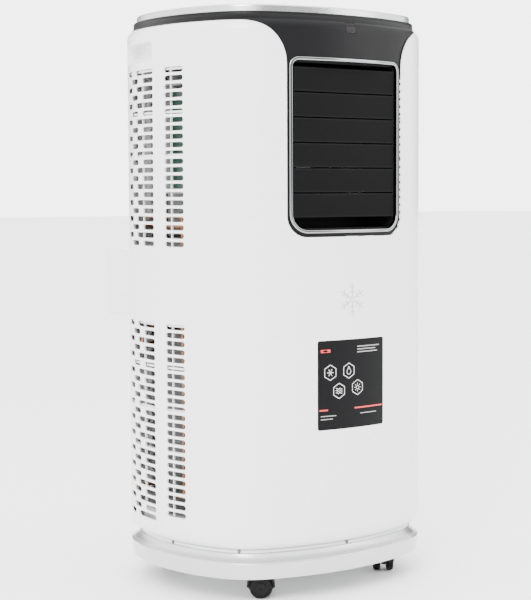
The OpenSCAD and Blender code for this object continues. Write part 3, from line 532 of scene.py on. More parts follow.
def material(name, color, rough, metallic=0.0, coat=0.0, spread=0.06, tint=0.04, grain=900.0, relief=0.00002,
             blotch=7.0, ior=1.5, wear=0.0, stretch=(1, 1, 1), scratch=0.0, coat_rough=0.06):
    """A surface with cloudy colour and roughness variation, fine grain bump, faint scratches and worn edges.

    spread and tint are the roughness and brightness variation, grain the scale of the fine bump per metre,
    relief its height in metres and stretch its direction. wear brightens convex edges.
    """
    m = bpy.data.materials.new(name)
    m.use_nodes = True
    tree = m.node_tree
    bsdf = tree.nodes["Principled BSDF"]
    bsdf.inputs["Metallic"].default_value = metallic
    bsdf.inputs["IOR"].default_value = ior
    bsdf.inputs["Coat Weight"].default_value = coat
    bsdf.inputs["Coat Roughness"].default_value = coat_rough
    place = node_of(tree, "ShaderNodeTexCoord")
    scale = node_of(tree, "ShaderNodeMapping", {"Scale": stretch})
    connect(tree, place.outputs["Object"], scale.inputs["Vector"])
    cloud = node_of(tree, "ShaderNodeTexNoise", {"Scale": blotch, "Detail": 4.0, "Roughness": 0.55})
    connect(tree, place.outputs["Object"], cloud.inputs["Vector"])
    fine = node_of(tree, "ShaderNodeTexNoise", {"Scale": grain, "Detail": 3.0, "Roughness": 0.6})
    connect(tree, scale.outputs["Vector"], fine.inputs["Vector"])
    shade = node_of(tree, "ShaderNodeMapRange", {"To Min": 1 - tint, "To Max": 1 + tint * 0.5})
    connect(tree, cloud.outputs["Fac"], shade.inputs["Value"])
    tone = node_of(tree, "ShaderNodeMix", {"Factor": 1.0}, data_type="RGBA", blend_type="MULTIPLY")
    tone.inputs["A"].default_value = (*color, 1)
    connect(tree, shade.outputs["Result"], tone.inputs["B"])
    result = tone.outputs["Result"]
    if wear:
        shape = node_of(tree, "ShaderNodeNewGeometry")
        ridge = node_of(tree, "ShaderNodeMapRange", {"From Min": 0.53, "From Max": 0.62, "To Max": wear})
        connect(tree, shape.outputs["Pointiness"], ridge.inputs["Value"])
        worn = node_of(tree, "ShaderNodeMix", data_type="RGBA")
        worn.inputs["B"].default_value = (*[min(1.0, c * 1.5 + 0.05) for c in color], 1)
        connect(tree, ridge.outputs["Result"], worn.inputs["Factor"])
        connect(tree, result, worn.inputs["A"])
        result = worn.outputs["Result"]
    connect(tree, result, bsdf.inputs["Base Color"])
    smear = node_of(tree, "ShaderNodeTexNoise", {"Scale": blotch * 4, "Detail": 6.0, "Roughness": 0.65})
    connect(tree, scale.outputs["Vector"], smear.inputs["Vector"])
    polish = node_of(tree, "ShaderNodeMapRange", {"To Min": max(0.02, rough - spread), "To Max": rough + spread})
    connect(tree, smear.outputs["Fac"], polish.inputs["Value"])
    connect(tree, polish.outputs["Result"], bsdf.inputs["Roughness"])
    bump = node_of(tree, "ShaderNodeBump", {"Strength": 1.0, "Distance": relief})
    connect(tree, fine.outputs["Fac"], bump.inputs["Height"])
    out = bump.outputs["Normal"]
    if scratch:
        lines = node_of(tree, "ShaderNodeTexVoronoi", {"Scale": 60.0}, feature="DISTANCE_TO_EDGE")
        warp = node_of(tree, "ShaderNodeMapping", {"Scale": (1, 1, 14)})
        connect(tree, place.outputs["Object"], warp.inputs["Vector"])
        connect(tree, warp.outputs["Vector"], lines.inputs["Vector"])
        hair = node_of(tree, "ShaderNodeMapRange", {"From Max": 0.012, "To Min": 1.0, "To Max": 0.0})
        connect(tree, lines.outputs["Distance"], hair.inputs["Value"])
        second = node_of(tree, "ShaderNodeBump", {"Strength": scratch, "Distance": relief})
        connect(tree, hair.outputs["Result"], second.inputs["Height"])
        connect(tree, out, second.inputs["Normal"])
        out = second.outputs["Normal"]
    connect(tree, out, bsdf.inputs["Normal"])
    return m


WHITE = material("white_gloss_abs", (0.77, 0.77, 0.77), 0.26, coat=0.35, spread=0.05, tint=0.012, relief=0.000012,
                 grain=500.0, blotch=5.0, coat_rough=0.12)
GREY_WHITE = material("light_grey_abs", (0.70, 0.705, 0.71), 0.42, spread=0.06, tint=0.02, relief=0.00003,
                      grain=1400.0)
BLACK = material("black_satin_abs", (0.006, 0.006, 0.0065), 0.36, spread=0.06, tint=0.12, relief=0.00003,
                 grain=1600.0, ior=1.2, wear=0.2)
BLADE = material("black_louvre_abs", (0.0022, 0.0022, 0.0024), 0.5, spread=0.08, tint=0.15, relief=0.00003,
                 grain=1300.0, ior=1.14, wear=0.2)
BLACK_MATTE = material("black_textured_abs", (0.006, 0.006, 0.0065), 0.5, ior=1.25, spread=0.08, tint=0.15, relief=0.00005,
                       grain=1100.0, wear=0.2)
LENS = material("smoked_lens", (0.004, 0.003, 0.003), 0.2, spread=0.05, tint=0.1, relief=0.000003, grain=300.0,
                ior=1.25, scratch=0.2)
PIANO = material("piano_black", (0.008, 0.008, 0.009), 0.08, coat=1.0, spread=0.03, tint=0.1, relief=0.000003,
                 grain=300.0, scratch=0.2, coat_rough=0.03)
SILVER = material("silver_metallic_paint", (0.56, 0.565, 0.57), 0.26, metallic=0.9, coat=0.3, spread=0.05,
                  tint=0.03, relief=0.00002, grain=2600.0, wear=0.15, coat_rough=0.15)
CHROME = material("plated_chrome", (0.26, 0.265, 0.27), 0.12, metallic=1.0, spread=0.04, tint=0.05,
                  relief=0.000004, grain=200.0, scratch=0.3)
KEY = material("key_silver_lacquer", (0.50, 0.505, 0.52), 0.3, metallic=0.6, coat=0.4, tint=0.04, relief=0.00002,
               grain=2400.0)
PRINT_WHITE = material("white_print", (0.62, 0.62, 0.62), 0.5, tint=0.1, relief=0.00001, grain=3000.0)
PRINT_GREY = material("grey_print", (0.30, 0.30, 0.30), 0.5, tint=0.12, relief=0.00001, grain=3000.0)
PRINT_SILVER = material("pale_grey_print", (0.42, 0.425, 0.43), 0.5, tint=0.1, relief=0.00001, grain=3000.0)
PRINT_RED = material("red_print", (0.55, 0.035, 0.035), 0.45, tint=0.1, relief=0.00001, grain=3000.0)
FILM = material("black_label_film", (0.004, 0.004, 0.0045), 0.36, coat=0.0, ior=1.17, spread=0.07, tint=0.1,
                relief=0.00002, grain=1800.0)
SCREW = material("zinc_screw", (0.10, 0.10, 0.105), 0.36, metallic=1.0, spread=0.1, tint=0.12, relief=0.00003,
                 grain=900.0, wear=0.4)
RUBBER = material("black_rubber", (0.018, 0.018, 0.018), 0.62, spread=0.1, tint=0.15, relief=0.00006, grain=700.0)
TREAD = material("polyurethane_tread", (0.005, 0.005, 0.005), 0.5, ior=1.25, spread=0.1, tint=0.2, relief=0.00008,
                 grain=420.0)
MOULDED_GREY = material("moulded_grey", (0.42, 0.425, 0.43), 0.45, tint=0.05, relief=0.00004, grain=1000.0)
FAN = material("fan_black", (0.03, 0.03, 0.032), 0.45, tint=0.1, relief=0.00004, grain=1000.0)
STEEL = material("zinc_plated_steel", (0.42, 0.43, 0.44), 0.34, metallic=1.0, spread=0.1, tint=0.1,
                 relief=0.00003, grain=120.0, stretch=(1, 1, 12), scratch=0.5)
ENAMEL = material("black_enamel", (0.014, 0.014, 0.015), 0.28, coat=0.3, tint=0.1, relief=0.00006, grain=260.0)
COPPER = material("drawn_copper", (0.62, 0.27, 0.15), 0.24, metallic=1.0, spread=0.1, tint=0.18, relief=0.00002,
                  grain=180.0, stretch=(1, 1, 8))


def fin_material():
    """Stacked fins of a coil: fine dark and bright lines across the face; the dark lines are painted shade in the gaps
    between the fins.
    """
    m = material("aluminium_fins", (0.55, 0.56, 0.57), 0.36, metallic=1.0, tint=0.1, relief=0.00003, grain=300.0)
    tree = m.node_tree
    bsdf = tree.nodes["Principled BSDF"]
    place = node_of(tree, "ShaderNodeTexCoord")
    wave = node_of(tree, "ShaderNodeTexWave", {"Scale": 180.0, "Distortion": 0.0}, bands_direction="X")
    connect(tree, place.outputs["Object"], wave.inputs["Vector"])
    bump = node_of(tree, "ShaderNodeBump", {"Strength": 1.0, "Distance": 0.0006})
    connect(tree, wave.outputs["Fac"], bump.inputs["Height"])
    connect(tree, bump.outputs["Normal"], bsdf.inputs["Normal"])
    # The wave darkens the colour in bands: painted shade in the gaps between the fins.
    old = bsdf.inputs["Base Color"].links[0].from_socket
    mix = node_of(tree, "ShaderNodeMix", data_type="RGBA", blend_type="MULTIPLY")
    mix.inputs["Factor"].default_value = 0.8
    connect(tree, old, mix.inputs["A"])
    connect(tree, wave.outputs["Fac"], mix.inputs["B"])
    connect(tree, mix.outputs["Result"], bsdf.inputs["Base Color"])
    return m


def mesh_material():
    """Woven filter mesh: open squares between fine threads; the open squares are painted dark, as painted shade seen
    through the holes.
    """
    m = material("woven_nylon", (0.10, 0.11, 0.13), 0.6, tint=0.1, relief=0.00004, grain=900.0)
    tree = m.node_tree
    bsdf = tree.nodes["Principled BSDF"]
    place = node_of(tree, "ShaderNodeTexCoord")
    heights = []
    for way in ("X", "Z"):
        wave = node_of(tree, "ShaderNodeTexWave", {"Scale": 200.0}, bands_direction=way)
        connect(tree, place.outputs["Object"], wave.inputs["Vector"])
        heights.append(wave.outputs["Fac"])
    top = node_of(tree, "ShaderNodeMath", operation="MAXIMUM")
    connect(tree, heights[0], top.inputs[0])
    connect(tree, heights[1], top.inputs[1])
    # The open squares between the threads are darkened: painted shade seen through the holes.
    old = bsdf.inputs["Base Color"].links[0].from_socket
    mix = node_of(tree, "ShaderNodeMix", {"Factor": 1.0}, data_type="RGBA", blend_type="MULTIPLY")
    connect(tree, old, mix.inputs["A"])
    connect(tree, top.outputs["Value"], mix.inputs["B"])
    connect(tree, mix.outputs["Result"], bsdf.inputs["Base Color"])
    bump = node_of(tree, "ShaderNodeBump", {"Strength": 1.0, "Distance": 0.0004})
    connect(tree, top.outputs["Value"], bump.inputs["Height"])
    connect(tree, bump.outputs["Normal"], bsdf.inputs["Normal"])
    return m


def board_material():
    """Circuit board: green solder mask with copper tracks under it."""
    m = material("solder_mask", (0.006, 0.045, 0.022), 0.35, coat=0.4, tint=0.1, relief=0.00002, grain=900.0)
    tree = m.node_tree
    bsdf = tree.nodes["Principled BSDF"]
    place = node_of(tree, "ShaderNodeTexCoord")
    bricks = node_of(tree, "ShaderNodeTexVoronoi", {"Scale": 120.0}, distance="MANHATTAN", feature="F1")
    connect(tree, place.outputs["Object"], bricks.inputs["Vector"])
    cut = node_of(tree, "ShaderNodeMapRange", {"From Min": 0.45, "From Max": 0.5, "To Min": 0.6, "To Max": 1.3})
    connect(tree, bricks.outputs["Distance"], cut.inputs["Value"])
    old = bsdf.inputs["Base Color"].links[0].from_socket
    mix = node_of(tree, "ShaderNodeMix", {"Factor": 1.0}, data_type="RGBA", blend_type="MULTIPLY")
    connect(tree, old, mix.inputs["A"])
    connect(tree, cut.outputs["Result"], mix.inputs["B"])
    connect(tree, mix.outputs["Result"], bsdf.inputs["Base Color"])
    return m


FINS, WOVEN, BOARD = fin_material(), mesh_material(), board_material()
CARRIED = {
    GREY_WHITE: ["base_pan"],
    BLADE: ["outlet_duct"],
    MOULDED_GREY: ["upper_scroll", "lower_scroll", "exhaust_duct", "mid_deck", "control_box", "louvre_link"],
    FAN: ["upper_blower", "lower_blower"],
    STEEL: ["swing_motor", "upper_motor", "lower_motor", "run_capacitor"],
    FINS: ["evaporator", "condenser"],
    ENAMEL: ["compressor"],
    COPPER: ["discharge_pipe", "suction_pipe", "liquid_pipe"],
    RUBBER: ["compressor_feet", "deck_drain_plug", "base_drain_plug", "cord_gland"],
    WOVEN: ["upper_filter", "lower_filter"],
    BOARD: ["circuit_board"],
}
for carried_material, names in CARRIED.items():
    for carried in names:
        data = frame["nodes"][carried].data
        data.materials.clear()
        data.materials.append(carried_material)

# ---- White shells ----

SEAM_HEAD = {side: float(heading_of_y(SEAM_Y + side * SEAM_GAP / 2, 1)) for side in (-1, 1)}
FILLET_V = np.concatenate([SHELL.v[:28:3], SHELL.v[28::3]])
PLAIN_V = np.arange(SHELL.v[27] + 14, SHELL.v[28], 22)
SHELL_V = np.concatenate([FILLET_V, PLAIN_V])


def skin(s, v, depth):
    return SHELL.at(s, v, depth)


def front_view(x, z, profile=SHELL):
    """(s, v) of points of the front given by x and z."""
    x, z = np.asarray(x, float), np.asarray(z, float)
    return np.stack([arc_of(heading_of_x(x, profile.inset_of_z(z))), profile.v_of_z(z)], -1)


def back_view(x, z):
    """(s, v) of points of the back, with s running on past the middle of the back."""
    a = heading_of_x_back(x, SKIN)
    return np.stack([np.where(a > 180, arc_of(a - 360) + GIRTH, arc_of(a)), SHELL.v_of_z(z)], -1)


def side_view(y, z, side):
    """(s, v) of points of one side given by y and z."""
    a = heading_of_y(y, side, SKIN)
    s = arc_of(a)
    return np.stack([np.where(s < 0, s + GIRTH, s) if side < 0 else s, SHELL.v_of_z(z)], -1)


def wrap(s):
    return np.where(s > GIRTH / 2, s - GIRTH, s)


def skin_wrapped(s, v, depth):
    return SHELL.at(wrap(s), v, depth)


def slot_loops(z0, rows, spans, phase=0):
    loops = []
    for i in range(rows):
        for u0, u1 in spans[(i + phase) % len(spans)]:
            loops.append(stadium(u0, u1, z0 + i * VENT_PITCH, VENT_H))
    return loops


def front_window():
    """The opening for the black apron in x and z, from its top left end down and round to its top right end."""
    half = APRON_HALF
    sweep = arc_points((half + SWEEP_R, SHELL_Z[1] - SWEEP_R), SWEEP_R, 180, 90, 14)
    corner = arc_points((half - APRON_R, APRON_Z + APRON_R), APRON_R, 270, 360, 10)
    right = np.concatenate([corner, sweep])
    left = right[::-1] * (-1, 1)
    return refine(np.concatenate([left, right]), 7, closed=False)


def front_shell():
    mesh = Mesh()
    s_end = float(arc_of(SEAM_HEAD[-1]))
    top, bottom = SHELL.v[-1], SHELL.v[0]
    window = front_view(*front_window().T)
    window[:, 1] = np.minimum(window[:, 1], top)
    loop = np.concatenate([[(-s_end, bottom), (s_end, bottom), (s_end, top)], window[::-1], [(-s_end, top)]])
    holes = []
    for side in (-1, 1):
        for z0, rows in (UPPER_VENTS, LOWER_VENTS):
            for slot in slot_loops(z0, rows, FRONT_SPANS):
                uv = side_view(slot[:, 0], slot[:, 1], side)
                uv[:, 0] = wrap(uv[:, 0])
                holes.append(uv)
    panel(mesh, skin, refine(loop, 6), holes, np.arange(-s_end + 4, s_end, 6.0), SHELL_V, edge=0.8,
          hole_edge=0.7, clearance=2.6)
    add_vent_ribs(mesh, (-55, -8), [-29.0])
    make("front_shell_skin", mesh, "case", WHITE, ["front_shell"])


RIB_PITCH, RIB_NEAR, RIB_FAR, RIB_THICK = 61.0, 1.6, 4.6, 1.5


def add_vent_ribs(mesh, span, uprights):
    """Ribs moulded on the inside of the shell, seen through the vents."""
    for side in (-1, 1):
        for z0, rows in (UPPER_VENTS, LOWER_VENTS):
            low, high = z0 - 8, z0 + rows * VENT_PITCH
            for y in uprights:
                bar_on_skin(mesh, side, (y - RIB_THICK / 2, y + RIB_THICK / 2), (low, high))
            z = high - 10
            while z > low + 6:
                bar_on_skin(mesh, side, span, (z - RIB_THICK, z + RIB_THICK))
                z -= RIB_PITCH


def bar_on_skin(mesh, side, y_span, z_span):
    ys = np.linspace(*y_span, max(2, int((y_span[1] - y_span[0]) / 8)))
    rows = []
    for depth in (WALL + RIB_NEAR, WALL + RIB_FAR):
        for z in z_span if depth < WALL + RIB_FAR else z_span[::-1]:
            a = heading_of_y(ys, side, SKIN)
            p, _ = SHELL.at(arc_of(a), SHELL.v_of_z(np.full(len(ys), z)), np.full(len(ys), depth))
            rows.append(mesh.add(p))
    mesh.quads(rows, closed_i=True, flip=side > 0)
    mesh.face([r[0] for r in rows][:: -side])
    mesh.face([r[-1] for r in rows][:: side])


HANDLE_Y, HANDLE_Z, HANDLE_DEPTH, HANDLE_LIP = (10.0, 116.0), (770.0, 797.0), 19.5, 7.0


def handle_depth(u, v):
    """Deep under the upper lip and running out towards the lower edge."""
    z = np.interp(v, SHELL.v, SHELL.z)
    t = np.clip((z - HANDLE_Z[0]) / (HANDLE_Z[1] - HANDLE_Z[0] - HANDLE_LIP), 0, 1)
    return 3.5 + (HANDLE_DEPTH - 3.5) * np.sin(t * math.pi / 2) ** 1.3


def rear_shell():
    mesh = Mesh()
    s0 = float(arc_of(SEAM_HEAD[1]))
    s1 = GIRTH - s0
    top, bottom = SHELL.v[-1], SHELL.v[0]
    loop = [(s0, bottom), (s1, bottom), (s1, top), (s0, top)]
    holes = []
    for side in (-1, 1):
        groups = ((*UPPER_VENTS, 0), (LOWER_VENTS[0] - VENT_PITCH, LOWER_VENTS[1] + 1, 1))
        for z0, rows, phase in groups:
            for slot in slot_loops(z0, rows, REAR_SPANS, phase):
                holes.append(side_view(slot[:, 0], slot[:, 1], side))
    for node in ("upper_grille", "lower_grille"):
        low, high = box_mm(node)
        window = round_rect((low[0] - 0.3, low[2] - 0.3), (high[0] + 0.3, high[2] + 0.3), 6)
        holes.append(back_view(*refine(window, 6).T))
    low, high = box_mm("exhaust_collar")
    collar = round_rect((low[0] - 0.3, low[2] - 0.3), (high[0] + 0.3, high[2] + 0.3), 6)
    holes.append(back_view(*refine(collar, 6).T))
    for x, z, r in ((0, 513.0, 11.3), (0, 98.0, 11.3), (60, 102.0, 9.3)):
        holes.append(back_view(*arc_points((x, z), r, 0, 360, 32)[:-1].T))
    pockets = []
    for side in (-1, 1):
        slot = refine(round_rect((HANDLE_Y[0], HANDLE_Z[0]), (HANDLE_Y[1], HANDLE_Z[1]), 7), 5)
        pockets.append((side_view(slot[:, 0], slot[:, 1], side), handle_depth))
    panel(mesh, skin_wrapped, refine(loop, 6), holes, np.arange(s0 + 4, s1, 6.0), SHELL_V, edge=0.8,
          hole_edge=0.7, pockets=pockets, clearance=2.6)
    add_vent_ribs(mesh, (4, 130), [47.0, 91.0])
    make("rear_shell_skin", mesh, "case", WHITE, ["rear_shell"])


def grille(node):
    mesh = Mesh()
    low, high = box_mm(node)
    window = refine(round_rect((low[0], low[2]), (high[0], high[2]), 6), 6)
    rows = {"upper_grille": 18, "lower_grille": 20}[node]
    holes = []
    for i in range(rows):
        for k in range(4):
            slot = stadium(-118 + k * 60, -62 + k * 60, low[2] - 0.3 + 14 + i * VENT_PITCH, VENT_H)
            holes.append(back_view(slot[:, 0], slot[:, 1]))
    outer = back_view(*window.T)
    s0, s1 = outer[:, 0].min(), outer[:, 0].max()
    v_lines = np.arange(outer[:, 1].min() + 6, outer[:, 1].max(), 14)
    panel(mesh, skin_wrapped, outer, holes, np.arange(s0 + 5, s1, 7), v_lines, edge=1.0, hole_edge=0.8,
          clearance=2.6)
    add_grille_rim(mesh, window)
    make(node + "_skin", mesh, node, WHITE, [node])


def add_grille_rim(mesh, window):
    """The rim that stands in behind the edge of a grille, and its stiffening bars."""
    inner = window - loop_normals(anticlockwise(window)) * 4.7
    rows = []
    for loop, depth in ((window, WALL - 0.3), (window, 11.6), (inner, 11.6), (inner, WALL - 0.3)):
        uv = back_view(*loop.T)
        p, _ = skin_wrapped(uv[:, 0], uv[:, 1], np.full(len(uv), depth))
        rows.append(mesh.add(p))
    mesh.quads(rows, closed_i=True, closed_j=True)
    z0, z1 = window[:, 1].min() + 5, window[:, 1].max() - 5
    for k in range(3):
        x = -60 + k * 60
        rows = []
        for dx, depth in ((-1.2, WALL - 0.3), (-1.2, 5.6), (1.2, 5.6), (1.2, WALL - 0.3)):
            uv = back_view(np.full(2, x + dx), np.array([z0, z1]))
            p, _ = skin_wrapped(uv[:, 0], uv[:, 1], np.full(2, depth))
            rows.append(mesh.add(p))
        mesh.quads(rows, closed_i=True)
        mesh.face([r[0] for r in rows])
        mesh.face([r[1] for r in rows][::-1])


front_shell()
rear_shell()
grille("upper_grille")
grille("lower_grille")

# ---- Base ring, top cover, trim and exhaust collar ----


def carry_round(mesh, section, slot=0, step=1.5):
    """Carries a closed cross-section of (inset, z) points all the way round the case."""
    section = np.array(section, float)
    loops = []
    for a in np.arange(-180, 180, step):
        p = rim(np.full(len(section), a), section[:, 0])
        loops.append(np.column_stack([p, section[:, 1]]))
    mesh.loft(loops, closed_i=True, slot=slot)


def base_ring():
    mesh = Mesh()
    outer = [(3.9, 36.0), (3.3, 36.2), (3.1, 36.9), (2.3, 42), (0.5, 56), (0.2, 58), (0.25, 58.9), (0.7, 59.6),
             (1.7, 60.2), (3.4, 61.0), (6.2, 62.4), (8.8, 64.2), (11, 66.6), (13, 69.6), (13.9, 71.2)]
    inner = [(14.6, 71.7), (15.4, 71.4), (15.6, 70.6), (13.6, 67.2), (11, 64.4), (8, 62.4), (4.6, 60.8), (2.9, 58.6),
             (3.2, 56), (5.0, 42), (5.6, 37), (5.4, 36.2), (4.8, 36.0)]
    carry_round(mesh, outer + inner)
    make("base_ring_skirt", mesh, "case", SILVER, ["base_ring"])


def cover_skin(s, v, depth):
    return COVER.at(wrap(s), v, depth)


def bezel_loop(grow):
    low, high = box_mm("outlet_bezel")
    return round_rect((low[0] - grow, low[2] - grow), (high[0] + grow, high[2] + grow), 28 + grow, 14 + grow, 10)


def into_duct(p):
    """Ends of the tunnel walls, drawn in to meet the duct behind the bezel."""
    low, high = box_mm("outlet_duct")
    mouth = p.copy()
    mouth[:, 0] = np.clip(p[:, 0], low[0] - 0.4 + 5, 97.3)
    mouth[:, 0] = np.clip(mouth[:, 0], -97.3, 97.3)
    mouth[:, 2] = np.clip(p[:, 2], low[2] - 0.3, high[2] + 0.3)
    mouth[:, 1] = low[1] - 0.3
    return mouth


def top_cover():
    mesh = Mesh()
    half = GIRTH / 2 + 0.1
    low_v = float(COVER.v_of_z(SHELL_Z[1] + 0.3))
    top = COVER.v[-1]
    window = front_window()
    shrink = window.copy()
    centre = np.array([0.0, 700.0])
    step = np.gradient(window, axis=0)
    step /= np.linalg.norm(step, axis=1)[:, None]
    shrink += np.stack([-step[:, 1], step[:, 0]], -1) * 0.35
    keep = shrink[:, 1] < SHELL_Z[1] + 0.25
    uv = front_view(*shrink[keep].T, COVER)
    ends = [(half, low_v), (half, top), (-half, top), (-half, low_v)]
    loop = np.concatenate([uv, ends])
    holes = [front_view(*refine(bezel_loop(0.3), 7).T, COVER)]
    low, high = box_mm("receiver_window")
    pane = round_rect((low[0] - 0.2, low[2] - 0.2), (high[0] + 0.2, high[2] + 0.2), 1.2, n=3)
    holes.append(front_view(*refine(pane, 4).T, COVER))
    panel(mesh, cover_skin, refine(loop, 5), holes, np.arange(-half + 4, half, 6.0), COVER_V, edge=0.5,
          hole_edge=0.4, clearance=1.3, steps=3, deep={1: into_duct})
    deck = outline_part(DECK_INSET, lambda y: y > PANEL_BACK_Y, PANEL_BACK_Y)
    rows = [(0.0, 822.0), (0.0, 836.9), (0.25, 837.6), (1.0, 838.0)]
    away = loop_normals(deck)
    loops = [np.column_stack([deck - away * inset, np.full(len(deck), z)]) for inset, z in rows]
    mesh.loft(loops, caps=True)
    make("top_cover_shell", mesh, "case", BLACK, ["top_cover"])


DECK_INSET, PANEL_BACK_Y, DECK_Z = 18.65, -60.0, 838.0
COVER_V = np.concatenate([COVER.v[1:22:2], COVER.v[22:31:2], np.arange(COVER.v[0] - 280, COVER.v[1], 16)])


def outline_part(inset, test, edge_y):
    """Anticlockwise outline of the part of the case's top on one side of a straight edge."""
    a = np.arange(-180, 180, 1.5)
    p = rim(a, inset)
    keep = test(p[:, 1])
    corner = float(heading_of_y(edge_y, 1, inset))
    ends = rim(np.array([-corner, corner]), inset)
    if keep[len(a) // 2]:
        return anticlockwise(np.concatenate([ends[:1], p[keep], ends[1:]]))
    left, right = p[keep & (a < 0)], p[keep & (a > 0)]
    return anticlockwise(np.concatenate([ends[1:], right, left, ends[:1]]))


def top_trim():
    mesh = Mesh()
    section = [(14.7, 832.15), (14.68, 838.5), (14.75, 840.0), (15.05, 841.0), (15.6, 841.7), (16.4, 841.95),
               (17.2, 841.85), (17.9, 841.3), (18.2, 840.4), (18.25, 832.15)]
    carry_round(mesh, section)
    make("top_trim_loop", mesh, "case", SILVER, ["top_trim"])


def exhaust_collar():
    mesh = Mesh()
    low, high = box_mm("exhaust_collar")
    loop = refine(round_rect((low[0], low[2]), (high[0], high[2]), 6), 12)
    away = loop_normals(loop)
    end = high[1]
    section = [(low[1], 0.0), (end - 8, 0.0), (end - 4.5, 0.25), (end - 2.4, 0.8), (end - 1.0, 1.5), (end - 0.25, 2.2),
               (end - 0.05, 2.6), (end - 0.3, 2.9), (end - 1.2, 3.0), (low[1], 3.0)]
    loops = []
    for y, inset in section:
        q = loop - away * inset
        loops.append(np.column_stack([q[:, 0], np.full(len(q), y), q[:, 1]]))
    mesh.loft(loops, closed_i=True)
    make("exhaust_collar_duct", mesh, "case", WHITE, ["exhaust_collar"])


# ---- Outlet, louvres, label and receiver window ----


def front_flat(x, z, depth):
    """Point and normal of the front of the case at x and z, moved in by depth."""
    x, z, depth = np.broadcast_arrays(np.asarray(x, float), np.asarray(z, float), np.asarray(depth, float))
    a = heading_of_x(x, depth)
    p = rim(a, depth)
    t = np.radians(a)
    return np.column_stack([p, z]), np.column_stack([np.sin(t), -np.cos(t), np.zeros(len(t))])


def outlet_bezel():
    mesh = Mesh()
    loop = refine(bezel_loop(0), 6)
    away = loop_normals(loop)
    section = [(0.0, 8.9), (0.0, 3.6), (0.15, 2.9), (0.6, 2.35), (1.4, 2.08), (2.5, 2.04), (3.6, 2.08), (4.4, 2.35),
               (4.85, 2.9), (5.0, 3.6), (5.0, 8.9)]
    loops = []
    for across, inset in section:
        q = loop - away * across
        loops.append(front_flat(q[:, 0], q[:, 1], np.full(len(q), inset))[0])
    mesh.loft(loops, closed_i=True)
    make("outlet_bezel_frame", mesh, "case", CHROME, ["outlet_bezel"], sharp=50)


def plate_x(mesh, poly, x0, x1, r=0.25, slot=0):
    """A plate across X with its edges rounded by r."""
    poly = anticlockwise(np.asarray(poly, float))
    away = loop_normals(poly)
    loops = []
    for x, inset in ((x0, r), (x0 + 0.3 * r, 0.3 * r), (x0 + r, 0), (x1 - r, 0), (x1 - 0.3 * r, 0.3 * r), (x1, r)):
        q = poly - away * inset
        loops.append(np.column_stack([np.full(len(q), x), q]))
    mesh.loft(loops, caps=True, slot=slot)


def basis(axis):
    axis = np.asarray(axis, float) / np.linalg.norm(axis)
    side = np.cross(axis, (0, 0, 1.0) if abs(axis[2]) < 0.9 else (1.0, 0, 0))
    side /= np.linalg.norm(side)
    return axis, side, np.cross(axis, side)


def revolve(mesh, profile, origin, axis, n=32, slot=0, closed=False):
    """Turns (radius, height) points about an axis. An open profile starts and ends on the axis."""
    w, u, v = basis(axis)
    t = np.radians(np.arange(n) * 360 / n)
    ring = np.cos(t)[:, None] * u + np.sin(t)[:, None] * v
    body = profile if closed else [p for p in profile if p[0] > 1e-6]
    rows = [mesh.add(np.asarray(origin) + ring * r + w * h) for r, h in body]
    mesh.quads(rows, closed_i=closed, closed_j=True, slot=slot)
    if closed:
        return
    for row, (_, h), way in ((rows[0], profile[0], 1), (rows[-1], profile[-1], -1)):
        tip = mesh.add(np.asarray(origin) + w * h)[0]
        for j in range(n):
            ids = [tip, row[j], row[(j + 1) % n]]
            mesh.face(ids[::way], slot=slot)


def louvre(number):
    mesh = Mesh()
    node = "louvre_%d" % number
    low, high = box_mm(node)
    centre = (low[2] + high[2]) / 2
    half = (high[2] - low[2]) / 2
    face, back, ends = -163.9, -160.55, 92.4
    z = np.linspace(-1, 1, 13)
    front = [(face + 0.35 * k * k, k * (half - 0.5)) for k in z]
    tips = [(face + 0.9, half - 0.1), (face + 1.7, half - 0.02), (back - 0.8, half - 0.1), (back - 0.2, half - 0.6)]
    rear = [(back, k * (half - 1.4)) for k in z[::-1]]
    feet = [(y, -h) for y, h in tips[::-1]]
    section = np.array(front + tips + rear + feet)
    middle = np.array([(face + back) / 2, 0])
    loops = []
    for x, size in ((-ends, 0.93), (-ends + 0.3, 0.98), (-ends + 1, 1.0), (ends - 1, 1.0), (ends - 0.3, 0.98), (ends, 0.93)):
        q = middle + (section - middle) * (size, 1 - (1 - size) * 0.3)
        loops.append(np.column_stack([np.full(len(q), x), q[:, 0], q[:, 1] + centre]))
    mesh.loft(loops, caps=True)
    lug = np.array([(back - 0.6, -9), (PIVOT_Y + 2.4, -3.2), (PIVOT_Y + 3, -1.5), (PIVOT_Y + 3, 1.5), (PIVOT_Y + 2.4, 3.2),
                    (back - 0.6, 9)]) + (0, centre)
    for x in (-92.4, 90.5):
        plate_x(mesh, lug, x, x + 1.9)
    pin = [(0, -96.55), (1.6, -96.55), (1.98, -96.2), (1.98, -91.4), (0, -91.4)]
    revolve(mesh, pin, (0, PIVOT_Y, centre), (1, 0, 0), 24)
    revolve(mesh, [(0, 91.4), (1.98, 91.4), (1.98, 98.9), (0, 98.9)], (0, PIVOT_Y, centre), (1, 0, 0), 24)
    crank = np.concatenate([arc_points((PIVOT_Y, 0), 3.6, 90, 270, 10), arc_points((ARM_PIN_Y, 0), 3, -90, 90, 10)])
    plate_x(mesh, crank + (0, centre), 97.52, 99.48)
    pin = [(0, 99.0), (1.48, 99.0), (1.48, 103.0), (1.2, 103.35), (0, 103.35)]
    revolve(mesh, pin, (0, ARM_PIN_Y, centre), (1, 0, 0), 24)
    make(node + "_blade", mesh, node, BLADE, [node])


PIVOT_Y, ARM_PIN_Y = -155.0, -141.0


def receiver_window():
    mesh = Mesh()
    low, high = box_mm("receiver_window")
    pane = round_rect((low[0] + 0.15, low[2] + 0.15), (high[0] - 0.15, high[2] - 0.15), 1.0, n=3)
    uv = front_view(*refine(pane, 4).T, COVER)
    panel(mesh, cover_skin, uv, [], np.arange(-8, 8.1, 2.6), COVER.v[1:22:2], wall=1.8, edge=0.35, clearance=1.0)
    make("receiver_window_pane", mesh, "case", LENS, ["receiver_window"])


PRINT_DEPTH, FILM_DEPTH = 0.02, 0.05


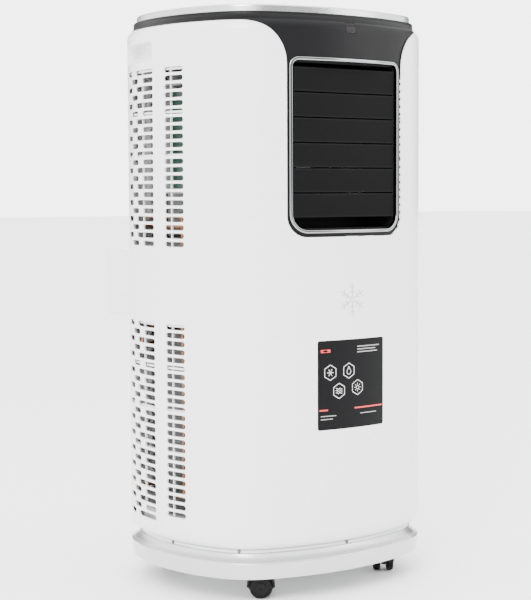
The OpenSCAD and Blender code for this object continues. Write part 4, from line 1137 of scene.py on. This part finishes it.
def print_shape(mesh, loop, slot, thick=0.015):
    """A thin printed shape on the front of the case."""
    loop = anticlockwise(refine(loop, 4))
    rows = []
    for depth in (PRINT_DEPTH, PRINT_DEPTH + thick):
        rows.append(mesh.add(front_flat(loop[:, 0], loop[:, 1], np.full(len(loop), depth))[0]))
    mesh.face(rows[0], slot=slot)
    mesh.face(rows[1][::-1], slot=slot)
    mesh.quads(rows, closed_j=True, slot=slot)


def bar(mesh, p, q, w, slot):
    p, q = np.array(p, float), np.array(q, float)
    along = (q - p) / np.linalg.norm(q - p)
    side = np.array([-along[1], along[0]]) * w / 2
    print_shape(mesh, np.array([p - side, q - side, q + side, p + side]), slot)


def outline_print(mesh, points, w, slot):
    for i in range(len(points)):
        bar(mesh, points[i], points[(i + 1) % len(points)], w, slot)


def ring_at(c, r, n, turn=0.0):
    t = np.radians(turn + np.arange(n) * 360 / n)
    return np.stack([c[0] + r * np.cos(t), c[1] + r * np.sin(t)], -1)


def front_label():
    mesh = Mesh()
    low, high = box_mm("front_label")
    film = refine(round_rect((low[0], low[2]), (high[0], high[2]), 3.0, n=6), 6)
    panel(mesh, lambda u, v, d: front_flat(u, v, d + FILM_DEPTH), film, [], np.arange(low[0] + 5, high[0], 8),
          np.arange(low[2] + 5, high[2], 10), wall=0.24, edge=0.05, clearance=2)
    x0, x1, z0 = low[0], high[0], low[2]
    white, grey, red = 1, 2, 3
    for k, (x, z) in enumerate(((-40, 82), (-7.5, 83), (-25, 55), (8.5, 58))):
        c = (x, z0 + z)
        outline_print(mesh, ring_at(c, 11, 6, 30), 0.9, white)
        pictogram(mesh, k, c, white)
    bars = [(x0 + 3, 28.5, 14, 2.2, red), (3, 28.5, x1 - 6, 2.2, red), (x0 + 5, 113, 16, 4.5, red)]
    bars += [(8, 117, 44, 1.4, grey), (8, 113, 36, 1.4, grey), (8, 109, 40, 1.4, grey), (14, 20, 32, 1.1, grey),
             (x0 + 5, 20, 26, 1.1, grey), (x0 + 5, 15.5, 20, 1.1, grey)]
    for x, z, width, height, slot in bars:
        bar(mesh, (x, z0 + z), (x + width, z0 + z), height, slot)
    make("front_label_film", mesh, "case", [FILM, PRINT_WHITE, PRINT_GREY, PRINT_RED], ["front_label"])


def pictogram(mesh, kind, c, slot):
    """Small plain signs: cooling, moisture, air flow and heat."""
    c = np.array(c, float)
    if kind == 0:
        for a in (0, 60, 120):
            way = np.array([math.cos(math.radians(a)), math.sin(math.radians(a))]) * 5.5
            bar(mesh, c - way, c + way, 0.8, slot)
    elif kind == 1:
        drop = np.concatenate([arc_points(c + (0, -1.5), 3.6, -220, 40, 12), [c + (0, 6)]])
        outline_print(mesh, drop, 0.8, slot)
    elif kind == 2:
        for k in (-3, 0, 3):
            x = np.linspace(-5.5, 5.5, 9)
            wave = np.stack([c[0] + x, c[1] + k + np.sin(x * 1.1)], -1)
            for p, q in zip(wave[:-1], wave[1:]):
                bar(mesh, p, q, 0.8, slot)
    else:
        outline_print(mesh, ring_at(c, 2.6, 12), 0.8, slot)
        for p, q in zip(ring_at(c, 4.2, 8), ring_at(c, 6.2, 8)):
            bar(mesh, p, q, 0.8, slot)


def snow_motif():
    """A pale six-armed crystal printed on the case above the label."""
    mesh = Mesh()
    c = np.array([-1.0, 428.0])
    for k in range(6):
        t = math.radians(30 + 60 * k)
        way = np.array([math.cos(t), math.sin(t)])
        bar(mesh, c + way * 3.0, c + way * 24, 1.7, 0)
        for r, length in ((9, 5.5), (15.5, 6.5)):
            for side in (-1, 1):
                turn = t + side * math.radians(52)
                tip = np.array([math.cos(turn), math.sin(turn)]) * length
                bar(mesh, c + way * r, c + way * r + tip, 1.4, 0)
    outline_print(mesh, ring_at(c, 3.4, 6), 1.2, 0)
    make("snow_motif", mesh, "case", PRINT_SILVER)


# ---- Control panel and keys ----


def flat_top(height):
    def surface(u, v, depth):
        u, v, depth = np.broadcast_arrays(u, v, np.asarray(depth, float))
        return np.column_stack([u, v, height - depth]), np.column_stack([u * 0, u * 0, u * 0 + 1])
    return surface


KEY_Y, KEY_STEP, KEY_R = -118.0, 26.0, 7.0
DISPLAY = ((-32.0, -150.0), (32.0, -134.0))


def control_panel():
    mesh = Mesh()
    outer = outline_part(DECK_INSET, lambda y: y < PANEL_BACK_Y - 0.35, PANEL_BACK_Y - 0.35)
    holes = [ring_at(((i - 2.5) * KEY_STEP, KEY_Y), KEY_R + 0.35, 36) for i in range(6)]
    holes.append(refine(round_rect(*DISPLAY, 2.0, n=4), 8))
    panel(mesh, flat_top(DECK_Z), refine(outer, 6), holes, np.arange(-180, 181, 9), np.arange(-180, -60, 9),
          wall=5.4, edge=0.8, hole_edge=0.5, clearance=3)
    glass = round_rect(np.add(DISPLAY[0], 0.15), np.subtract(DISPLAY[1], 0.15), 1.8, n=4)
    panel(mesh, flat_top(DECK_Z - 0.5), refine(glass, 8), [], np.arange(-28, 29, 8), [-146, -142, -138], wall=2.0,
          edge=0.3, clearance=1.5, slot=1)
    for k, x in enumerate((-9.5, 4.5)):
        digit(mesh, (x, -142), 2)
    make("control_panel_plate", mesh, "case", [PIANO, FILM, PRINT_GREY], ["control_panel"])


def digit(mesh, c, slot):
    """Seven unlit segments of one display figure."""
    w, h = 2.6, 4.2
    bars = [((-w, h), (w, h)), ((-w, 0), (w, 0)), ((-w, -h), (w, -h))]
    bars += [((x, y0), (x, y1)) for x in (-w - 0.2, w + 0.2) for y0, y1 in ((0.6, h - 0.5), (-h + 0.5, -0.6))]
    for p, q in bars:
        flat_bar(mesh, np.add(c, p), np.add(c, q), 0.7, DECK_Z - 0.44, slot)


def flat_bar(mesh, p, q, w, top, slot, thick=0.1):
    p, q = np.array(p, float), np.array(q, float)
    along = (q - p) / np.linalg.norm(q - p)
    side = np.array([-along[1], along[0]]) * w / 2
    loop = np.array([p - side, q - side, q + side, p + side])
    loops = [np.column_stack([loop, np.full(4, z)]) for z in (top - thick, top)]
    mesh.loft(loops, caps=True, slot=slot)


def keys():
    names = ["power", "mode", "fan", "timer", "plus", "minus"]
    for i, name in enumerate(names):
        mesh = Mesh()
        node = "button_" + name
        low, high = box_mm(node)
        c = ((low[0] + high[0]) / 2, (low[1] + high[1]) / 2)
        top, r = high[2], (high[0] - low[0]) / 2
        profile = [(0, top - 0.42), (2.5, top - 0.38), (4.5, top - 0.24), (5.6, top - 0.08), (6.2, top - 0.02),
                   (r - 0.35, top - 0.1), (r - 0.08, top - 0.4), (r - 0.02, top - 0.9), (r - 0.02, low[2] + 0.02),
                   (0, low[2] + 0.02)]
        revolve(mesh, profile, (c[0], c[1], 0), (0, 0, 1), 48)
        sign(mesh, name, c, top - 0.2)
        make(node + "_cap", mesh, node, [KEY, PRINT_WHITE], [node])


def sign(mesh, name, c, top):
    def line(p, q, w=0.55):
        flat_bar(mesh, np.add(c, p), np.add(c, q), w, top, 1, 0.3)

    def ring(r, a0=0, a1=360, n=16):
        points = arc_points((0, 0), r, a0, a1, n)
        for p, q in zip(points[:-1], points[1:]):
            line(p, q)

    if name == "power":
        ring(2.6, 120, 420)
        line((0, 0.6), (0, 3.4))
    elif name == "mode":
        for y in (-1.8, 0, 1.8):
            line((-2.6, y), (2.6, y))
    elif name == "fan":
        ring(0.8, n=8)
        for a in (90, 210, 330):
            way = np.array([math.cos(math.radians(a)), math.sin(math.radians(a))])
            turn = np.array([-way[1], way[0]])
            line(way * 1.0, way * 3.2 + turn * 0.9)
            line(way * 1.0, way * 3.2 - turn * 0.4)
    elif name == "timer":
        ring(2.8)
        line((0, 0), (0, 1.9))
        line((0, 0), (1.3, -0.6))
    else:
        line((-2.6, 0), (2.6, 0), 0.7)
        if name == "plus":
            line((0, -2.6), (0, 2.6), 0.7)


# ---- Screws and casters ----


def screw_head(mesh, origin, out, r, dome):
    """A domed head with a cross recess."""
    w, u, v = basis(out)
    arm, half = r * 0.6, r * 0.15
    cross = np.array([(half, half), (half, arm), (-half, arm), (-half, half), (-arm, half), (-arm, -half), (-half, -half),
                      (-half, -arm), (half, -arm), (half, -half), (arm, -half), (arm, half)])

    def surface(a, b, depth):
        lift = dome * (1 - (a * a + b * b) / (r * r)) - np.asarray(depth)
        point = origin + a[:, None] * u + b[:, None] * v + lift[:, None] * w
        lean = 2 * dome / (r * r)
        normal = w + (a[:, None] * u + b[:, None] * v) * lean
        return point, normal / np.linalg.norm(normal, axis=1)[:, None]

    ring = ring_at((0, 0), r - 0.01, 24)
    panel(mesh, surface, ring, [cross], np.linspace(-r, r, 5), np.linspace(-r, r, 5), wall=1.0, edge=0.15,
          hole_edge=0.06, clearance=0.35, steps=1)
    revolve(mesh, [(0, -1.0), (r * 0.75, -1.0), (r * 0.75, -1.6), (0, -1.6)], origin, out, 16)


def case_screws():
    mesh = Mesh()
    for a in (0, 47, -47, 85, -85, 130, -130, 180):
        p = rim(a, 14.5)
        t = math.radians(a)
        out = np.array([math.sin(t), -math.cos(t), 0])
        screw_head(mesh, np.array([p[0], p[1], 74.3]) + out * 0.9, out, 2.4, 0.35)
    for z in (140, 350, 530, 740):
        for side in (-1, 1):
            p = rim(side * 141, 0)
            t = math.radians(side * 141)
            out = np.array([math.sin(t), -math.cos(t), 0])
            screw_head(mesh, np.array([p[0], p[1], z]) - out * 0.45, out, 3.35, 0.4)
    make("case_screw_heads", mesh, "case", SCREW, ["case_screws"])


CASTERS = {"fl": (-1, -1, -37), "fr": (1, -1, 53), "rl": (-1, 1, 20), "rr": (1, 1, 115)}
CASTER_X, CASTER_Y, TRAIL, WHEEL_R, WHEEL_W, WEB_HALF = 125.0, 105.0, 13.0, 17.0, 11.0, 4.0


def caster(key):
    side_x, side_y, turn = CASTERS[key]
    t = math.radians(turn)
    ahead, across = np.array([math.cos(t), math.sin(t), 0]), np.array([-math.sin(t), math.cos(t), 0])
    foot = np.array([side_x * CASTER_X, side_y * CASTER_Y, 0.0])
    axle = foot + ahead * TRAIL + (0, 0, WHEEL_R)
    wheels = Mesh()
    for side in (-1, 1):
        near = WEB_HALF + 0.4
        tread = [(near, 0.0), (near, 13.6), (near + 0.4, 15.4), (near + 1.6, 16.6), (near + 3.6, 16.95),
                 (near + 5.5, 16.98), (near + 7.4, 16.95), (near + 9.4, 16.6), (near + 10.6, 15.4), (near + 11, 13.6)]
        face = [(near + 11, 13.0), (near + 9.2, 12.6), (near + 9.1, 7.4), (near + 10.9, 6.9), (near + 10.9, 3.0),
                (near + 10.4, 2.6), (near + 10.4, 0.0)]
        profile = [(r, h) for h, r in tread + face]
        revolve(wheels, profile, axle, across * side, 48)
    revolve(wheels, [(0, -9), (2.9, -9), (2.9, 9), (0, 9)], axle, across, 24, slot=1)
    make("caster_wheels_%s_pair" % key, wheels, "caster_wheels_" + key, [TREAD, STEEL], ["caster_wheels_" + key])
    fork = Mesh()
    section = np.array([(18.0, -15.3), (18.0, 15.3), (18.5, 15.85), (19.6, 15.85), (20.3, 15.0), (20.45, 14),
                        (20.45, -14), (20.3, -15.0), (19.6, -15.85), (18.5, -15.85)])
    loops = []
    for a, size in zip([0, 1.5, *np.arange(6, 175, 6), 178.5, 180], [0.6, 1, *[1] * 29, 1, 0.6]):
        c, s = math.cos(math.radians(a)), math.sin(math.radians(a))
        r = 19.2 + (section[:, 0] - 19.2) * size
        w = section[:, 1] * (1 if size == 1 else 0.97)
        loops.append(axle + r[:, None] * (ahead * c + np.array([0, 0, s])) + w[:, None] * across)
    fork.loft(loops, caps=True)
    web = np.concatenate([arc_points((0, 0), 18.6, -15, 195, 28)])
    loops = []
    for w, inset in ((-3.7, 0.4), (-3.4, 0.0), (3.4, 0.0), (3.7, 0.4)):
        q = web - loop_normals(web) * inset
        loops.append(axle + q[:, :1] * ahead + q[:, 1:] * np.array([0, 0, 1.0]) + across * w)
    fork.loft(loops, caps=True)
    low, high = box_mm("caster_fork_" + key)
    stem = [(0, 27), (8.6, 27), (8.6, 50.6), (8.2, 51.3), (5.45, 51.5), (5.45, high[2] - 1), (4.6, high[2] - 0.1),
            (0, high[2] - 0.1)]
    revolve(fork, stem, foot, (0, 0, 1), 40)
    make("caster_fork_%s_hood" % key, fork, "caster_" + key, BLACK_MATTE, ["caster_fork_" + key])


base_ring()
top_cover()
top_trim()
exhaust_collar()
outlet_bezel()
for louvre_number in range(1, 7):
    louvre(louvre_number)
receiver_window()
front_label()
snow_motif()
control_panel()
keys()
case_screws()
for caster_key in CASTERS:
    caster(caster_key)

# ---- Stage, lights and camera ----


def floor():
    data = bpy.data.meshes.new("floor")
    data.from_pydata([(-30, -30, 0), (30, -30, 0), (30, 30, 0), (-30, 30, 0)], [], [(0, 1, 2, 3)])
    obj = bpy.data.objects.new("floor", data)
    bpy.context.scene.collection.objects.link(obj)
    data.materials.append(material("pale_floor", (0.97, 0.97, 0.97), 0.75, spread=0.02, tint=0.004,
                                   relief=0.00001, grain=60.0, blotch=1.0))


def softbox(name, place, target, size, power, tall=None):
    light = bpy.data.lights.new(name, "AREA")
    light.shape = "RECTANGLE"
    light.size, light.size_y = size, tall or size
    light.energy = power
    obj = bpy.data.objects.new(name, light)
    obj.location = place
    obj.rotation_mode = "QUATERNION"
    obj.rotation_quaternion = (Vector(target) - Vector(place)).to_track_quat("-Z", "Y")
    bpy.context.scene.collection.objects.link(obj)


SKY = [(-180, 0.3), (-168, 0.8), (-30, 0.8), (-8, 0.1), (48, 0.1), (66, 0.8), (84, 0.8), (96, 0.1), (124, 0.1),
       (131, 1.2), (154, 1.2), (161, 0.1), (176, 0.1), (180, 0.3)]
SKY_STRENGTH = 4.2


def world():
    """White studio all round and above, with soft dark flags that give the glossy faces their edges."""
    w = bpy.data.worlds.new("studio")
    bpy.context.scene.world = w
    w.use_nodes = True
    tree = w.node_tree
    back = tree.nodes["Background"]
    way = node_of(tree, "ShaderNodeTexCoord")
    split = node_of(tree, "ShaderNodeSeparateXYZ")
    connect(tree, way.outputs["Generated"], split.inputs["Vector"])
    front = node_of(tree, "ShaderNodeMath", operation="MULTIPLY")
    front.inputs[1].default_value = -1.0
    connect(tree, split.outputs["Y"], front.inputs[0])
    heading = node_of(tree, "ShaderNodeMath", operation="ARCTAN2")
    connect(tree, split.outputs["X"], heading.inputs[0])
    connect(tree, front.outputs["Value"], heading.inputs[1])
    share = node_of(tree, "ShaderNodeMapRange", {"From Min": -math.pi, "From Max": math.pi})
    connect(tree, heading.outputs["Value"], share.inputs["Value"])
    ramp = node_of(tree, "ShaderNodeValToRGB")
    stops = ramp.color_ramp.elements
    ends = [stops[0], stops[1]]
    for k, (degrees, level) in enumerate([SKY[0], SKY[-1]]):
        ends[k].position, ends[k].color = (degrees + 180) / 360, (level, level, level, 1)
    for degrees, level in SKY[1:-1]:
        stops.new((degrees + 180) / 360).color = (level, level, level, 1)
    connect(tree, share.outputs["Result"], ramp.inputs["Fac"])
    rise = node_of(tree, "ShaderNodeMapRange", {"From Min": 0.35, "From Max": 0.6})
    connect(tree, split.outputs["Z"], rise.inputs["Value"])
    mix = node_of(tree, "ShaderNodeMix", data_type="RGBA")
    mix.inputs["B"].default_value = (1, 1, 1, 1)
    connect(tree, rise.outputs["Result"], mix.inputs["Factor"])
    connect(tree, ramp.outputs["Color"], mix.inputs["A"])
    connect(tree, mix.outputs["Result"], back.inputs["Color"])
    back.inputs["Strength"].default_value = SKY_STRENGTH


AZIMUTH, PITCH, ROLL = -37.1, 3.92, -0.2
CAMERA_DISTANCE, CAMERA_HEIGHT, LENS, SHIFT_X = 2.43, 0.584, 96.0, -0.018


def camera():
    data = bpy.data.cameras.new("camera")
    data.lens, data.sensor_width = LENS, 36.0
    data.shift_x = SHIFT_X
    data.clip_start, data.clip_end = 0.05, 100
    obj = bpy.data.objects.new("camera", data)
    a, e = math.radians(AZIMUTH), math.radians(PITCH)
    obj.location = (math.sin(a) * CAMERA_DISTANCE, SHIFT_Y / 1000 - math.cos(a) * CAMERA_DISTANCE, CAMERA_HEIGHT)
    look = Vector((-math.sin(a) * math.cos(e), math.cos(a) * math.cos(e), -math.sin(e)))
    turn = look.to_track_quat("-Z", "Y").to_matrix().to_4x4() @ Matrix.Rotation(math.radians(ROLL), 4, "Z")
    obj.rotation_mode = "QUATERNION"
    obj.rotation_quaternion = turn.to_quaternion()
    bpy.context.scene.collection.objects.link(obj)
    bpy.context.scene.camera = obj


floor()
world()
softbox("key", (-2.6, -2.2, 2.6), (0, 0, 0.5), 1.8, 190)
softbox("fill", (2.4, -2.6, 1.6), (0, 0, 0.4), 1.6, 50)
camera()
